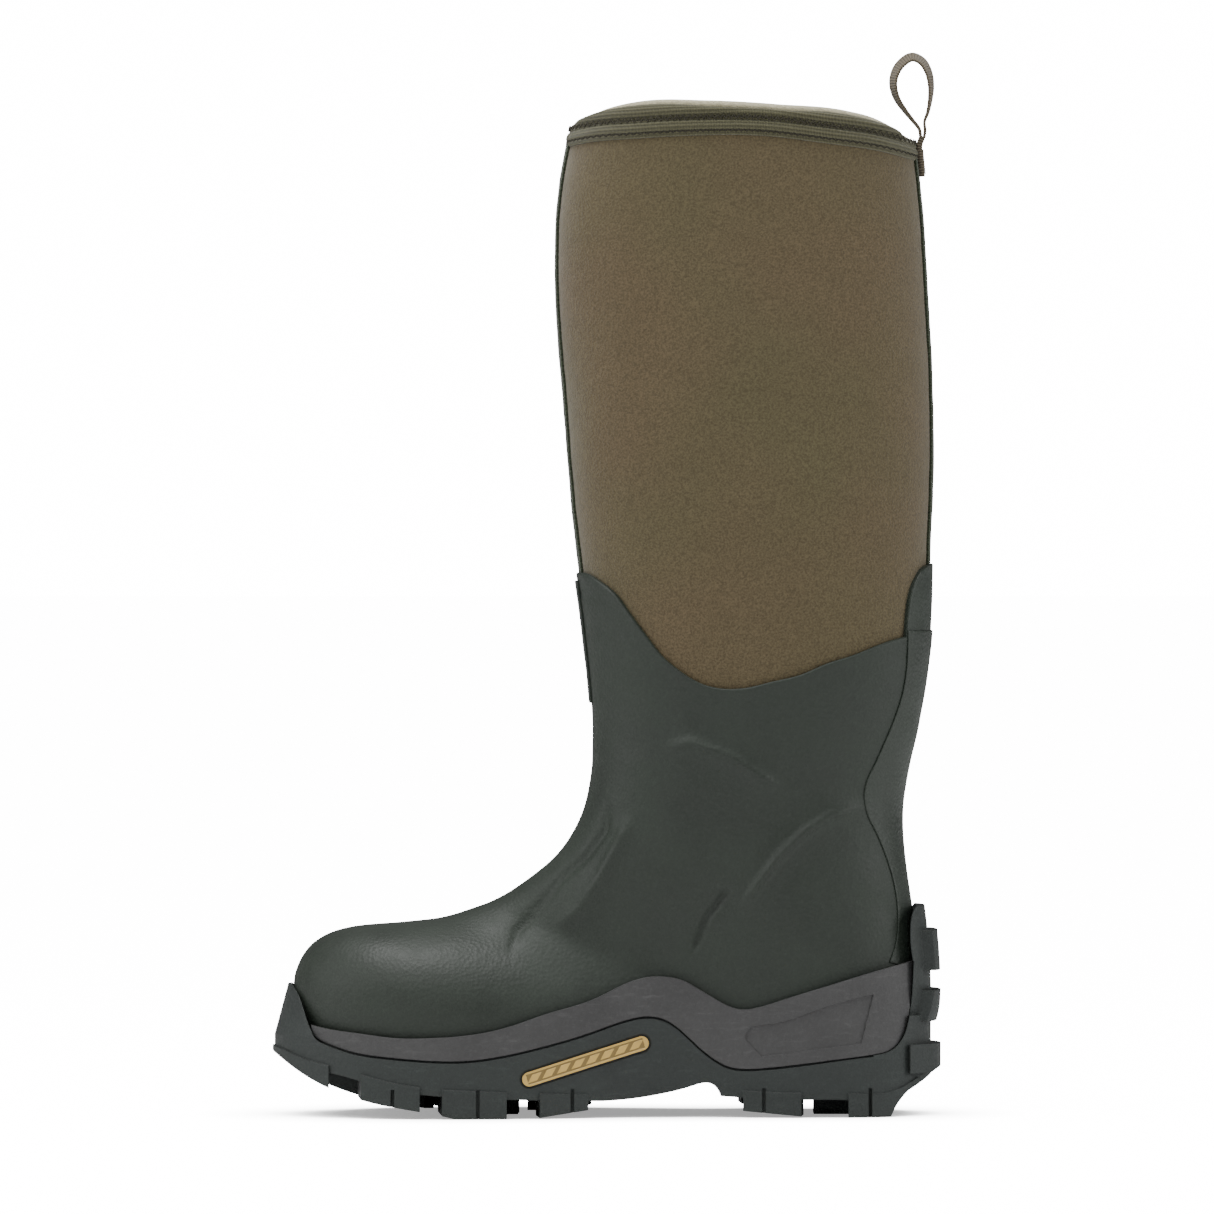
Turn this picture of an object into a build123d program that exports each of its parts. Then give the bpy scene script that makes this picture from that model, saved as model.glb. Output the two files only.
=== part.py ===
"""Insulated hunting boot for the right foot: a rubber foot shell over a neoprene and fleece bootie, on a lugged sole.

Row frame, millimetres: the toe points to -X, the inner (medial) side is -Y, and +Z is up.
The origin is on the floor under the middle of the heel, where the rear heel lug stands.
"""

import os
from functools import lru_cache
from math import cos, hypot, pi, sin

from build123d import *

os.makedirs("parts", exist_ok=True)

# ---------------------------------------------------------------- driving sizes
SOLE_LENGTH = 300.0  # toe bumper to the widest point of the heel spur
COLLAR_HEIGHT = 453.0  # floor to the top of the collar at its sides
BALL_WIDTH = 105.0  # foxing to foxing at the ball of the foot

NEOPRENE = 5.0  # closed-cell bootie wall
FLEECE = 1.6  # lining bonded inside the bootie
RUBBER = 2.1  # hand-laid foot shell
BOND = 0.3  # cement line left between two skins
STRIP_RAISE = 0.6  # how much further the rear strip stands out than the shell
SEAM = 0.6  # open joint between two rubber edges that meet

TAPE_WIDTH = 19.0  # front and rear seam tapes
TAPE = 0.9
SHIN_STRIP_WIDTH = 15.0
SHIN_STRIP = 0.9

BINDING = 1.2  # folded collar tape, per layer

FOXING = 2.9  # grey band: how far it stands out from the shell
FOXING_GROOVE = 1.0  # open line between the band and the outsole
OUTSOLE_SIDE = 3.2  # outsole wall at the sides of the foot
LUG_STEP = 0.9  # how far the lugs stand out from the outsole wall
BUMPER = 7.0  # outsole wall at the toe
SPUR = 5.8  # outsole wall at the back of the heel
KNOB = 4.4  # how far the spur's knobs stand out
OUTSOLE_FLOOR = 4.0  # plate above the lug roots
SIPE = 1.6  # narrow slot in the side of a lug
SIPE_DEPTH = 2.2

BADGE_LENGTH = 59.0
BADGE_WIDTH = 6.4
BADGE = 1.4
BADGE_GROOVE = 0.9

SHANK_WIDTH = 18.0
SHANK = 1.6
BOARD = 3.2  # lasting board, at its middle
FOOTBED = 4.5
FOOTBED_CLEARANCE = 1.4
FOOTBED_TOE_ROOM = 4.0  # shorter than the cavity at the toe, so that it lifts out

THREAD = 0.5  # sewing thread lying on a face
THREAD_WIDTH = 0.9
THREAD_GAP = 0.12
COLLAR_ROWS = (1.8, 8.2)  # heights of the rows above the binding's lower edge

WEBBING_WIDTH = 11.0
WEBBING = 1.5
LOOP_HEIGHT = 37.7  # pull loop above its fold
LOOP_SPREAD = 18.6  # over the loop, front to back
LOOP_TAIL = 17.0  # stitched length under the fold
LOOP_GAP = 1.05  # open joint under the loop's round foot, at the collar's side
LOOP_SLANT = 3.4  # how much lower the tail ends on its outer side, so that the loop can fold right down

# ---------------------------------------------------------------- grading from the drawn size
DRAWN_LENGTH, DRAWN_HEIGHT, DRAWN_WIDTH = 300.0, 453.0, 105.0
ANKLE = 150.0  # heights below this stay as drawn when the shaft grows
GROW_X = SOLE_LENGTH / DRAWN_LENGTH
GROW_Y = BALL_WIDTH / DRAWN_WIDTH
GROW_Z = (COLLAR_HEIGHT - ANKLE) / (DRAWN_HEIGHT - ANKLE)
THROUGH = 400.0  # longer than the boot is wide, for cuts that pass through it


def graded(x, z):
    """A point of the side view, moved from the drawn size to the ordered one."""
    return x * GROW_X, z if z < ANKLE else ANKLE + (z - ANKLE) * GROW_Z


# Sections of the bootie's outer face, collar to toe. Each one lies in the plane through its front and back points:
# front x, z, back x, z, half width, centre y, share of the width that the plan below gives instead, place of the
# widest line, and fullness of the front and back halves.
SECTIONS = [
    (-117.5, 470, 30.5, 470, 48.0, 0, 0, 0.50, 2.2, 2.2),
    (-123.4, 432, 33.6, 432, 49.5, 0, 0, 0.50, 2.2, 2.2),
    (-127.6, 395, 36.9, 395, 50.5, 0, 0, 0.50, 2.2, 2.2),
    (-126.2, 350, 39.6, 350, 51.5, 0, 0, 0.50, 2.2, 2.2),
    (-122.3, 300, 41.0, 300, 51.5, 0, 0, 0.50, 2.2, 2.2),
    (-117.0, 248, 39.6, 246, 49.5, 0, 0, 0.50, 2.2, 2.2),
    (-111.9, 206, 37.0, 200, 45.8, 0, 0, 0.50, 2.25, 2.2),
    (-109.3, 174, 30.2, 164, 42.0, 0, 0, 0.49, 2.3, 2.2),
    (-110.1, 150, 25.8, 137, 39.2, 0, 0, 0.48, 2.35, 2.2),
    (-115.7, 130.8, 27.1, 111, 37.6, 0.5, 0, 0.48, 2.4, 2.3),
    (-125.5, 116, 30.6, 86, 36.8, 1.0, 0, 0.49, 2.4, 2.5),
    (-135.5, 107, 32.4, 62, 36.2, 1.8, 0.2, 0.51, 2.4, 2.8),
    (-146.0, 99.3, 29.3, 42, 35.6, 2.4, 0.6, 0.53, 2.35, 3.2),
    (-154.0, 94.7, 14.0, 31.5, 34.5, 3.0, 1, 0.56, 2.3, 3.9),
    (-162.9, 91, -22.0, 29.8, 36.0, 3.8, 1, 0.58, 2.25, 4.4),
    (-172.0, 87.8, -64.0, 29.2, 39.0, 4.0, 1, 0.60, 2.2, 4.4),
    (-181.5, 85.5, -106.0, 26, 43.0, 3.0, 1, 0.61, 2.2, 4.3),
    (-192.0, 84.3, -143.0, 23, 46.0, 1.0, 1, 0.62, 2.2, 4.2),
    (-204.0, 83.3, -175.0, 22.6, 44.0, -1.0, 1, 0.62, 2.2, 4.0),
    (-216.0, 82.3, -202.0, 24.6, 37.0, -3.0, 1, 0.61, 2.2, 3.8),
    (-226.0, 80.2, -220.0, 28, 29.0, -4.0, 1, 0.60, 2.2, 3.5),
    (-233.8, 76.6, -231.5, 32.5, 22.0, -4.5, 1, 0.58, 2.2, 3.0),
    (-240.4, 69.5, -239.6, 39.0, 15.0, -4.5, 1, 0.56, 2.1, 2.5),
    (-244.6, 56.5, -244.4, 46.0, 9.0, -4.5, 0, 0.50, 2.0, 2.0),
]
STEPS = 1  # sections drawn from one row to the next
SECTION_POINTS = 15  # from the front of a section to its back, on each side
FINE = 160

# Plan of the bootie at its widest level, heel to toe: x, inner half width, outer half width.
PLAN = [
    (32.5, 0, 0),
    (31, 10, 10),
    (26, 19.5, 19.5),
    (16, 27.2, 27.4),
    (0, 32, 32.8),
    (-25, 32.6, 35),
    (-55, 30.8, 36.5),
    (-85, 31.5, 39.5),
    (-110, 35.5, 43),
    (-135, 41.5, 46.5),
    (-160, 46, 47.5),
    (-180, 47, 45.5),
    (-200, 44.5, 40),
    (-218, 38.5, 31),
    (-231, 30, 21),
    (-239, 21, 11.5),
    (-243.7, 11.5, 2),
    (-245, 4.5, -4.5),
]

# Side-view lines, drawn toe to heel unless said otherwise.
TOPLINE = [(-145, 444), (-126, 444), (-120, 446.5), (-110, 450.3), (-93, 453), (-60, 453)]
TOPLINE += [(-30, 451.5), (5, 448.6), (20, 445), (28, 441.4), (33, 438.2), (38, 436), (60, 434)]
BINDING_LOW = [(-145, 434), (-126, 434.3), (-110, 437), (-94, 438), (-70, 439.3), (-36, 439.3), (-5, 435.7)]
BINDING_LOW += [(14, 433.2), (36, 428), (60, 427)]
SHELL_TOP = [(-140, 242.6), (-122, 243), (-113, 243.5), (-107, 240), (-100, 234), (-87, 216), (-80.5, 207.5)]
SHELL_TOP += [(-72, 200.2), (-62.5, 194.6), (-53, 192.4), (-43.5, 192.7), (-19, 198.5), (4.8, 207.3), (20, 213.2)]
SHELL_TOP += [(30, 215.8), (60, 217)]
STRIP_EDGE = [(30, 220), (29.6, 201.7), (26.7, 185.3), (21.2, 171), (15.8, 159), (11.6, 150.4), (10.4, 144.4)]
STRIP_EDGE += [(11.6, 136.2), (16.9, 125.3), (21.2, 114.4), (24.5, 102.4), (25.8, 89.3), (25.1, 78.4), (21.5, 67.4)]
STRIP_FOOT = [(21.5, 67.4), (33, 70.2), (60, 76)]
STRIP_TOP_Z = 218.0
TAB_EDGE = [(60, 249), (42.5, 248.2), (38.6, 246.2), (35, 241.9), (32, 235.3), (30.4, 226.8), (29.2, 214)]
FOXING_TOP = [(-237.7, 41.0), (-228, 39.2), (-214, 37.6), (-200, 36), (-186, 36), (-172, 36.8), (-149, 41), (-132, 46.7)]
FOXING_TOP += [(-111, 53), (-94, 60.9), (-85.5, 62.9), (-78, 62.8), (-71, 61.2), (-64, 57.4), (-56, 52.6), (-50, 49.5)]
FOXING_TOP += [(-43.7, 48.2), (-37, 49.2), (-25, 53), (-12, 57), (14, 64.8), (32.4, 69.4)]
FOXING_LOW = [(-237.3, 38.8), (-235.4, 35.8), (-229.8, 33), (-220.9, 30.1), (-200.9, 27.2), (-184, 26), (-167, 26)]
FOXING_LOW += [(-152, 28), (-130, 33), (-111.6, 38.4), (-94, 44.2), (-86, 45.2), (-79.3, 43.8), (-72.7, 39.6)]
FOXING_LOW += [(-64.8, 32.2), (-57, 26), (-51, 22.8), (-43.7, 21.6), (-35.7, 21.9), (-12, 24.6), (14.4, 27.9)]
FOXING_LOW += [(22, 29.8), (27, 34.5), (30, 43), (31.6, 54), (32.4, 69.4)]
SPUR_FRONT = [(32.4, 69.4), (31.4, 76), (31.2, 84), (32, 90), (34, 94)]
BUMPER_BACK = [(-247, 58.8), (-243.4, 53.6), (-240.6, 46), (-238, 39.2)]
BUMPER_FRONT = [(-262, 58.8), (-262, 30)]
BUMPER_LEAN = 6.4  # the bumper's face leans in by this much from here to its top
BUMPER_LEAN_FROM = 36.0
TOE_UNDER = [(-262, 30), (-253, 29.2), (-250, 26.4)]
HEEL_PANEL = [(-43, 35), (-41.7, 39), (-31.8, 41.7), (-12, 47.7), (14.4, 54.9)]
HEEL_PANEL_LOW = [(14.4, 54.9), (9, 33.2), (-12, 30.2), (-35.7, 27.2), (-43, 35)]

# Tread: the plate that the lugs grow from, and the faces of the lugs.
PLATE = [(-250, 26.4), (-240, 22.6), (-222, 18.4), (-206, 14.0), (-186, 10.6), (-160, 9.0), (-140, 8.2), (-107, 7.4)]
ARCH = [(-107, 7.4), (-92, 8.6), (-78, 11), (-68, 13.6), (-60, 15.4), (-54, 9.4)]
HEEL_PLATE = [(-54, 9.4), (-48, 9.0), (-20, 7.8), (0, 7.8), (24, 8.6), (34, 13.6), (50, 24)]
ROCKER = [(-262, 33), (-249.8, 24.7), (-241.8, 19.4), (-226, 11.8), (-209.8, 6.9), (-189, 3.2), (-173, 0)]
ROCKER_END = [(-137, 0), (-100, 5.5)]
HEEL_SLOPE = [(22.4, 0), (30.4, 11.6), (39, 18), (60, 30)]

# Lugs in plan: the x range of each one at the foot's edge.
INNER_LUGS = [(-239.6, -226), (-212, -186), (-176, -147), (-132, -110), (-47.8, -21.7), (-0.6, 42)]
OUTER_LUGS = [(-239.6, -223.5), (-215.5, -190), (-179.5, -151), (-136, -112), (-49, -25), (-4, 42)]
INNER_SIPES = (-200.9, -162.7, -120.5, -34.7, 13)
OUTER_SIPES = (-203, -165, -124, -37, 10)
CENTRE_LUGS = [(-222, -4, 17, 20), (-193, -2, 20, 26), (-158, 0.5, 27, 30), (-122, 3, 20, 24), (-36, 1, 15, 22)]
EDGE_LUG = 21.0  # a lug at the edge reaches in to this distance from the middle
LUG_SLANT = 5.0

# Inside: the shank's line in the foam, the foam's top, and the floor of the cavity, all in side view.
SHANK_LINE = [(-128, 15.4), (-100, 18.4), (-75, 21.2), (-60, 22.2), (-45, 21.4), (-28, 19.4)]
SHANK_Y = 3.0
FOAM_FLOOR = [(-222, 18.4), (-206, 14.0), (-186, 10.6), (-160, 9.0), (-140, 8.2), (-107, 7.8), (-92, 9.4)]
FOAM_FLOOR += [(-78, 12.6), (-66, 15.2), (-56, 14.6), (-44, 10.6), (-28, 8.6), (0, 8.2), (24, 8.8)]
FOAM_TOP = [(-222, 31), (-202, 27.8), (-175, 25.8), (-143, 26.4), (-106, 30), (-64, 33), (-22, 34), (8, 35), (24, 36.5)]
FLOOR = [(-245, 42), (-231, 38.6), (-220, 35.4), (-202, 31.9), (-175, 29.8), (-143, 30.2), (-106, 33), (-64, 36.2)]
FLOOR += [(-22, 37), (14, 38.7), (40, 41)]

# Pull loop: outer edge and hole in side view, from the fold round the top and back to it.
LOOP_FOLD = (37.0, 438.7)
LOOP_OUTER = [(-1.5, 0.2), (-1.9, 3.0), (-6.0, 9.6), (-12.4, 18.4), (-14.0, 25.1), (-11.1, 32.9), (-4.6, 37.7)]
LOOP_OUTER += [(1.6, 33.3), (4.6, 24.9), (4.2, 15.3), (2.4, 6.9), (1.5, 0.2)]
LOOP_HOLE = [(-0.1, 5.4), (-4.9, 11.0), (-10.9, 19.0), (-12.4, 25.3), (-9.9, 32.0), (-4.6, 36.1), (0.3, 32.4)]
LOOP_HOLE += [(3.1, 24.7), (2.7, 15.9), (1.3, 8.9)]
HEEL_PAD = (24.0, 22.0)  # flat heel lug that the boot rests on
BALL_PAD = (24.0, 26.0)  # flat lug under the ball
BALL_PAD_X = -157.0
LUG_ROOT = 3.2  # an edge lug climbs the side wall this far above the plate
SIPE_TOP = 13.0
GROOVE_DEPTH = 1.6
KNOB_ROWS = ((65, 83), (42, 56))
KNOB_Y = (-13.5, 0, 13.5)
KNOB_WIDTH = 9.5
LEDGE = (19, 32)
BADGE_MIDDLE = (-114.6, 25.4)
BADGE_TILT = 17.2
BADGE_SUNK = 1.0
BOARD_EDGE = -15.0
TAIL_LEAN = 0.045  # the collar's back flares this much as it goes down
PANEL_DEPTH = 0.5
OPEN_TOP = 12.0  # inner forms run on above the collar by this much


# ---------------------------------------------------------------- helpers
def unit(dx, dz):
    size = hypot(dx, dz)
    return dx / size, dz / size


def plan_at(x):
    """Inner and outer half widths of the plan at x, on a smooth line through its rows."""
    rows = sorted(PLAN)
    k = max(1, min(len(rows) - 3, sum(row[0] < x for row in rows) - 1))
    widths = []
    for side in (1, 2):
        (x0, x1, x2, x3), (p0, p1, p2, p3) = [r[0] for r in rows[k - 1 : k + 3]], [r[side] for r in rows[k - 1 : k + 3]]
        run = x2 - x1
        m1, m2 = (p2 - p0) / (x2 - x0) * run, (p3 - p1) / (x3 - x1) * run
        u = min(max((x - x1) / run, 0.0), 1.0)
        widths.append((2 * u**3 - 3 * u**2 + 1) * p1 + (u**3 - 2 * u**2 + u) * m1)
        widths[-1] += (3 * u**2 - 2 * u**3) * p2 + (u**3 - u**2) * m2
    return widths


def row_at(place):
    """The section row at a fractional place down the table, on a smooth line through the rows."""
    k = min(int(place), len(SECTIONS) - 2)
    u = place - k
    rows = [SECTIONS[min(max(n, 0), len(SECTIONS) - 1)] for n in (k - 1, k, k + 1, k + 2)]
    weights = (2 * u * u - u - u**3, 2 - 5 * u * u + 3 * u**3, u + 4 * u * u - 3 * u**3, u**3 - u * u)
    return [sum(w * row[n] for w, row in zip(weights, rows)) / 2 for n in range(len(rows[0]))]


def section_half(place, offset, side):
    """Evenly spaced points from the front of a section to its back, round one side (1 outer, -1 inner)."""
    fx, fz, bx, bz, half, centre, share, widest, front_full, back_full = row_at(place)
    before, after = row_at(max(place - 0.5, 0)), row_at(min(place + 0.5, len(SECTIONS) - 1))
    a, b = graded(*before[0:2]), graded(*after[0:2])
    nx, nz = unit(b[1] - a[1], a[0] - b[0])
    front = Vector(graded(fx, fz)[0] + nx * offset, 0, graded(fx, fz)[1] + nz * offset)
    a, b = graded(*before[2:4]), graded(*after[2:4])
    nx, nz = unit(a[1] - b[1], b[0] - a[0])
    back = Vector(graded(bx, bz)[0] + nx * offset, 0, graded(bx, bz)[1] + nz * offset)
    middle = front + (back - front) * widest
    rise = Vector(0, 0, OPEN_TOP if place == 0 and offset < 0 else 0)
    walk, run = [], [0.0]
    for k in range(FINE + 1):
        turn = pi * k / FINE
        end, full = (front, front_full) if k * 2 < FINE else (back, back_full)
        along, across = abs(cos(turn)) ** (2 / full), abs(sin(turn)) ** (2 / full)
        spot = middle + (end - middle) * along
        inner, outer = plan_at((spot.X if end is back else middle.X) / GROW_X)
        shift = centre * (1 - along) if end is back else centre
        plain, planned = (half + shift, outer) if side > 0 else (half - shift, inner)
        width = (plain + (planned - plain) * share) * GROW_Y + offset
        walk.append(spot + rise + Vector(0, side * across * width if 0 < k < FINE else 0, 0))
        if k:
            run.append(run[-1] + (walk[-1] - walk[-2]).length)
    points, k = [], 0
    for n in range(SECTION_POINTS):
        goal = run[-1] * n / (SECTION_POINTS - 1)
        while k < FINE - 1 and run[k + 1] < goal:
            k += 1
        points.append(walk[k] + (walk[k + 1] - walk[k]) * ((goal - run[k]) / (run[k + 1] - run[k])))
    return points


@lru_cache(maxsize=None)
def form(offset):
    """The whole boot as one solid, its face offset from the bootie's outer face. Inner forms stop short of the tip."""
    rows = len(SECTIONS) - 1 if offset > -NEOPRENE / 2 else len(SECTIONS) - 2
    marks = [n / (SECTION_POINTS - 1) for n in range(SECTION_POINTS)]
    wires = []
    for step in range(rows * STEPS + 1):
        edges = []
        for side in (1, -1):
            points = section_half(step / STEPS, offset, side)
            length = sum((b - a).length for a, b in zip(points, points[1:]))
            ends = [Vector(0, side * length, 0), Vector(0, -side * length, 0)]
            edges.append(Edge.make_spline(points, tangents=ends, parameters=marks, scale=False))
        wires.append(Wire(edges))
    return Solid.make_loft(wires)


def outline(grow, toe=0.0, heel=0.0):
    """The sole's plan as a closed wire, grown sideways by grow, and by toe and heel more at its two ends."""
    side_in = [(x * GROW_X, -inner * GROW_Y) for x, inner, _ in PLAN]
    side_out = [(x * GROW_X, outer * GROW_Y) for x, _, outer in PLAN]
    loop = side_in + side_out[-2:0:-1]
    grown = []
    for k, (x, y) in enumerate(loop):
        a, b = loop[k - 1], loop[(k + 1) % len(loop)]
        nx, ny = unit(a[1] - b[1], b[0] - a[0])
        extra = toe * max(0.0, -nx) ** 2 if x < -100 else heel * max(0.0, nx) ** 2
        grown.append((x + nx * (grow + extra), y + ny * (grow + extra)))
    return Wire([Spline(*grown, periodic=True)])


def slab(wire, low, high):
    """A plan outline extruded from one height to another."""
    return extrude(Pos(0, 0, low) * Face(wire), high - low, dir=(0, 0, 1))


def side_face(*runs):
    """A closed side-view region. Runs are smooth lines, or one straight one when they have two points."""
    edges, ends = [], []
    for run in runs:
        points = [graded(x, z) for x, z in run]
        edges.append(Polyline(*points) if len(points) == 2 else Spline(*points))
        ends.append((points[0], points[-1]))
    for (_, last), (first, _) in zip(ends, ends[1:] + ends[:1]):
        if hypot(first[0] - last[0], first[1] - last[1]) > 1e-6:
            edges.append(Line(last, first))
    return make_face(edges)


def through(*runs):
    """A side-view region pushed right through the boot, along Y."""
    return extrude(Plane.XZ * side_face(*runs), THROUGH / 2, both=True)


def block(x0, x1, y0, y1, z0, z1):
    return Pos((x0 + x1) / 2, (y0 + y1) / 2, (z0 + z1) / 2) * Box(x1 - x0, y1 - y0, z1 - z0)


def above(line, high=700.0):
    (x0, z0), (x1, z1) = line[0], line[-1]
    return through([(-THROUGH, z0), (x0, z0)], line, [(x1, z1), (THROUGH, z1)], [(THROUGH, high), (-THROUGH, high)])


def below(line, low=-60.0):
    (x0, z0), (x1, z1) = line[0], line[-1]
    return through([(-THROUGH, z0), (x0, z0)], line, [(x1, z1), (THROUGH, z1)], [(THROUGH, low), (-THROUGH, low)])


def shifted(points, gap):
    """A side-view line moved sideways by gap, to its right as it is drawn."""
    out = []
    for k, (x, z) in enumerate(points):
        a, b = points[max(k - 1, 0)], points[min(k + 1, len(points) - 1)]
        dx, dz = unit(b[0] - a[0], b[1] - a[1])
        out.append((x + dz * gap, z - dx * gap))
    return out


def height(z):
    return graded(0, z)[1]


def moved(points, dx=0.0, dz=0.0):
    return [(x + dx, z + dz) for x, z in points]


def save(shape, name):
    parts = shape.solids()
    print(f"{name:22s} {len(parts)} {shape.is_valid} {shape.volume:12.1f}")
    export_step(parts[0] if len(parts) == 1 else Compound(parts), f"parts/{name}.step")


# ---------------------------------------------------------------- layers of the upper
LINING_FACE = -NEOPRENE - BOND  # outer face of the fleece
CAVITY = LINING_FACE - FLEECE
SHELL_FACE = BOND + RUBBER
STRIP_FACE = SHELL_FACE + STRIP_RAISE
SOLE_INSIDE = SHELL_FACE + BOND  # the sole unit's wall starts here
FOXING_FACE = SOLE_INSIDE + FOXING
SIDE_FACE = SOLE_INSIDE + OUTSOLE_SIDE
SPUR_INSIDE = STRIP_FACE + BOND
BINDING_FACE = BOND + BINDING


def build_lining():
    return (form(LINING_FACE) & below(TOPLINE)) - form(CAVITY)


def build_bootie():
    wall = (form(0) - form(-NEOPRENE)) & below(TOPLINE)
    inner = wall & block(-THROUGH, THROUGH, -THROUGH, -BOND / 2, -60, 700)
    outer = wall & block(-THROUGH, THROUGH, BOND / 2, THROUGH, -60, 700)
    return inner, outer


def build_upper_rubber():
    """The shell, the strip and the tab: one hand-laid skin in three pieces."""
    skin = form(SHELL_FACE) - form(BOND)
    behind = through(STRIP_EDGE, STRIP_FOOT, [(120, 76), (120, 280)], [(120, 280), (30, 280)])
    gap_line, gap_foot = moved(STRIP_EDGE, dx=-SEAM), moved(STRIP_FOOT, dx=-SEAM, dz=-SEAM / 2)
    gap_line[-1] = gap_foot[0]
    cut = through(gap_line, gap_foot, [(120, 75), (120, 280)], [(120, 280), (29.4, 280)])
    shell = (skin & below(SHELL_TOP)) - cut
    step = [(-10, STRIP_TOP_Z), (100, STRIP_TOP_Z)]
    strip = (form(STRIP_FACE) - form(BOND)) & behind & below(step)
    tab_region = through(TAB_EDGE, [(29.2, 214), (60, 214)])
    tab = skin & tab_region & above(moved(step, dz=SEAM))
    return shell, strip, tab


def build_shin_strip():
    half = SHIN_STRIP_WIDTH / 2
    layer = form(SOLE_INSIDE + SHIN_STRIP) - form(SOLE_INSIDE)
    return layer & block(-THROUGH, -60 * GROW_X, -half, half, height(185), height(240.5))


def build_tapes():
    half = TAPE_WIDTH / 2
    layer = form(BOND + TAPE) - form(BOND)
    layer = layer & below(moved(BINDING_LOW, dz=-SEAM)) & block(-THROUGH, THROUGH, -half, half, 200, 700)
    front = layer & block(-THROUGH, -60 * GROW_X, -THROUGH, THROUGH, height(244.4), 700)
    rear = layer & block(0, THROUGH, -THROUGH, THROUGH, height(248.9), 700)
    return front, rear


def build_binding():
    """The elastic collar tape, folded over the edge of the bootie and its lining."""
    inside = CAVITY - BOND - BINDING
    band = (form(BINDING_FACE) - form(inside)) & above(BINDING_LOW) & below(moved(TOPLINE, dz=BINDING_FACE))
    core = (form(BOND) - form(CAVITY - BOND)) & below(moved(TOPLINE, dz=BOND))
    return band - core


def build_collar_stitching():
    """Two rows of thread that hold the binding down, laid on its outer face."""
    face = BINDING_FACE + THREAD_GAP
    layer = form(face + THREAD) - form(face)
    half = WEBBING_WIDTH / 2 + 1.5
    clear = block(0, THROUGH, -half, half, 300, 700)
    pieces = []
    for rise in COLLAR_ROWS:
        row = layer & above(moved(BINDING_LOW, dz=rise)) & below(moved(BINDING_LOW, dz=rise + THREAD_WIDTH))
        pieces += (row - clear).solids()
    return Compound(pieces)


# ---------------------------------------------------------------- sole unit
def midsole_room():
    """The hollow in the sole that the foam fills, between the outsole's floor and the shell."""
    floor = moved(FOAM_FLOOR, dz=OUTSOLE_FLOOR)
    return slab(outline(SOLE_INSIDE), 5, 45) & through(floor, FOAM_TOP[::-1])


def shank_space(room):
    """The shank, grown by room on every side."""
    low = moved(SHANK_LINE, dz=-room)
    low[0], low[-1] = (low[0][0] - room, low[0][1]), (low[-1][0] + room, low[-1][1])
    band = through(low, moved(low, dz=SHANK + 2 * room)[::-1])
    half = SHANK_WIDTH / 2 + room
    return band & block(-THROUGH, THROUGH, SHANK_Y - half, SHANK_Y + half, 0, 60)


def build_midsole():
    floor = moved(FOAM_FLOOR, dz=OUTSOLE_FLOOR + BOND)
    top = moved(FOAM_TOP, dz=-BOND)
    foam = slab(outline(SOLE_INSIDE - BOND), 5, 45) & through(floor, top[::-1])
    return foam - form(SOLE_INSIDE + BOND) - shank_space(BOND)


def build_foxing():
    band = slab(outline(FOXING_FACE), 10, 75) & through(FOXING_TOP, FOXING_LOW[::-1])
    panel = slab(outline(FOXING_FACE + 3), 10, 80) - slab(outline(FOXING_FACE - PANEL_DEPTH), 10, 80)
    panel = panel & through(HEEL_PANEL, HEEL_PANEL_LOW[:2], HEEL_PANEL_LOW[1:4], HEEL_PANEL_LOW[3:])
    return band - form(SOLE_INSIDE) - midsole_room() - panel


def lug_blanks():
    """Every lug as an upright prism, before the tread line and the sole's edge cut it."""
    corners = [[(-262, -90), (-243, -90), (-243, 90), (-262, 90)]]
    for side, rows in ((-1, INNER_LUGS), (1, OUTER_LUGS)):
        for x0, x1 in rows:
            lean = -LUG_SLANT if x0 > -60 else LUG_SLANT
            corners.append([(x0, side * 90), (x1, side * 90), (x1 - lean, side * EDGE_LUG), (x0 - lean, side * EDGE_LUG)])
    for x, y, long, wide in CENTRE_LUGS:
        a, b = long / 2, wide / 2
        corners.append([(x - a, y - b), (x + a * 0.6, y - b), (x + a, y), (x + a * 0.6, y + b), (x - a, y + b), (x - a * 0.7, y)])
    prisms = []
    for points in corners:
        scaled = [(x * GROW_X, y * GROW_Y) for x, y in points]
        prisms.append(extrude(make_face(Polyline(*scaled, close=True)), 60, dir=(0, 0, 1)))
    heel = Pos(0, 0, 0) * Box(HEEL_PAD[0], HEEL_PAD[1], 120)
    ball = Pos(BALL_PAD_X * GROW_X, 0, 0) * Box(BALL_PAD[0], BALL_PAD[1], 120)
    return prisms + [heel, ball]


def build_lugs():
    plan = slab(outline(SIDE_FACE + LUG_STEP, BUMPER - OUTSOLE_SIDE, SPUR - OUTSOLE_SIDE), -10, 60)
    toe = through(ROCKER, [(-173, 0), (-137, 0)], ROCKER_END, moved(PLATE + [(-100, 7.4)], dz=LUG_ROOT)[::-1])
    heel = through([(-54, 9.0), (-47.8, 3.2)], [(-47.8, 3.2), (-13, 0)], [(-13, 0), (22.4, 0)], HEEL_SLOPE, moved(HEEL_PLATE, dz=LUG_ROOT)[::-1])
    body = [plan & toe, plan & heel]
    lugs = []
    for blank in lug_blanks():
        for half in body:
            lugs += [s for s in (half & blank).solids() if s.volume > 1.0]
    return lugs


def sipes():
    ring = slab(outline(SIDE_FACE + 8), -10, 60) - slab(outline(SIDE_FACE + LUG_STEP - SIPE_DEPTH), -10, 60)
    bars = []
    for side, row in ((-1, INNER_SIPES), (1, OUTER_SIPES)):
        y0, y1 = (-THROUGH, 0) if side < 0 else (0, THROUGH)
        bars += [block(x * GROW_X - SIPE / 2, x * GROW_X + SIPE / 2, y0, y1, -10, SIPE_TOP) for x in row]
    return ring & Compound(bars)


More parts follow.
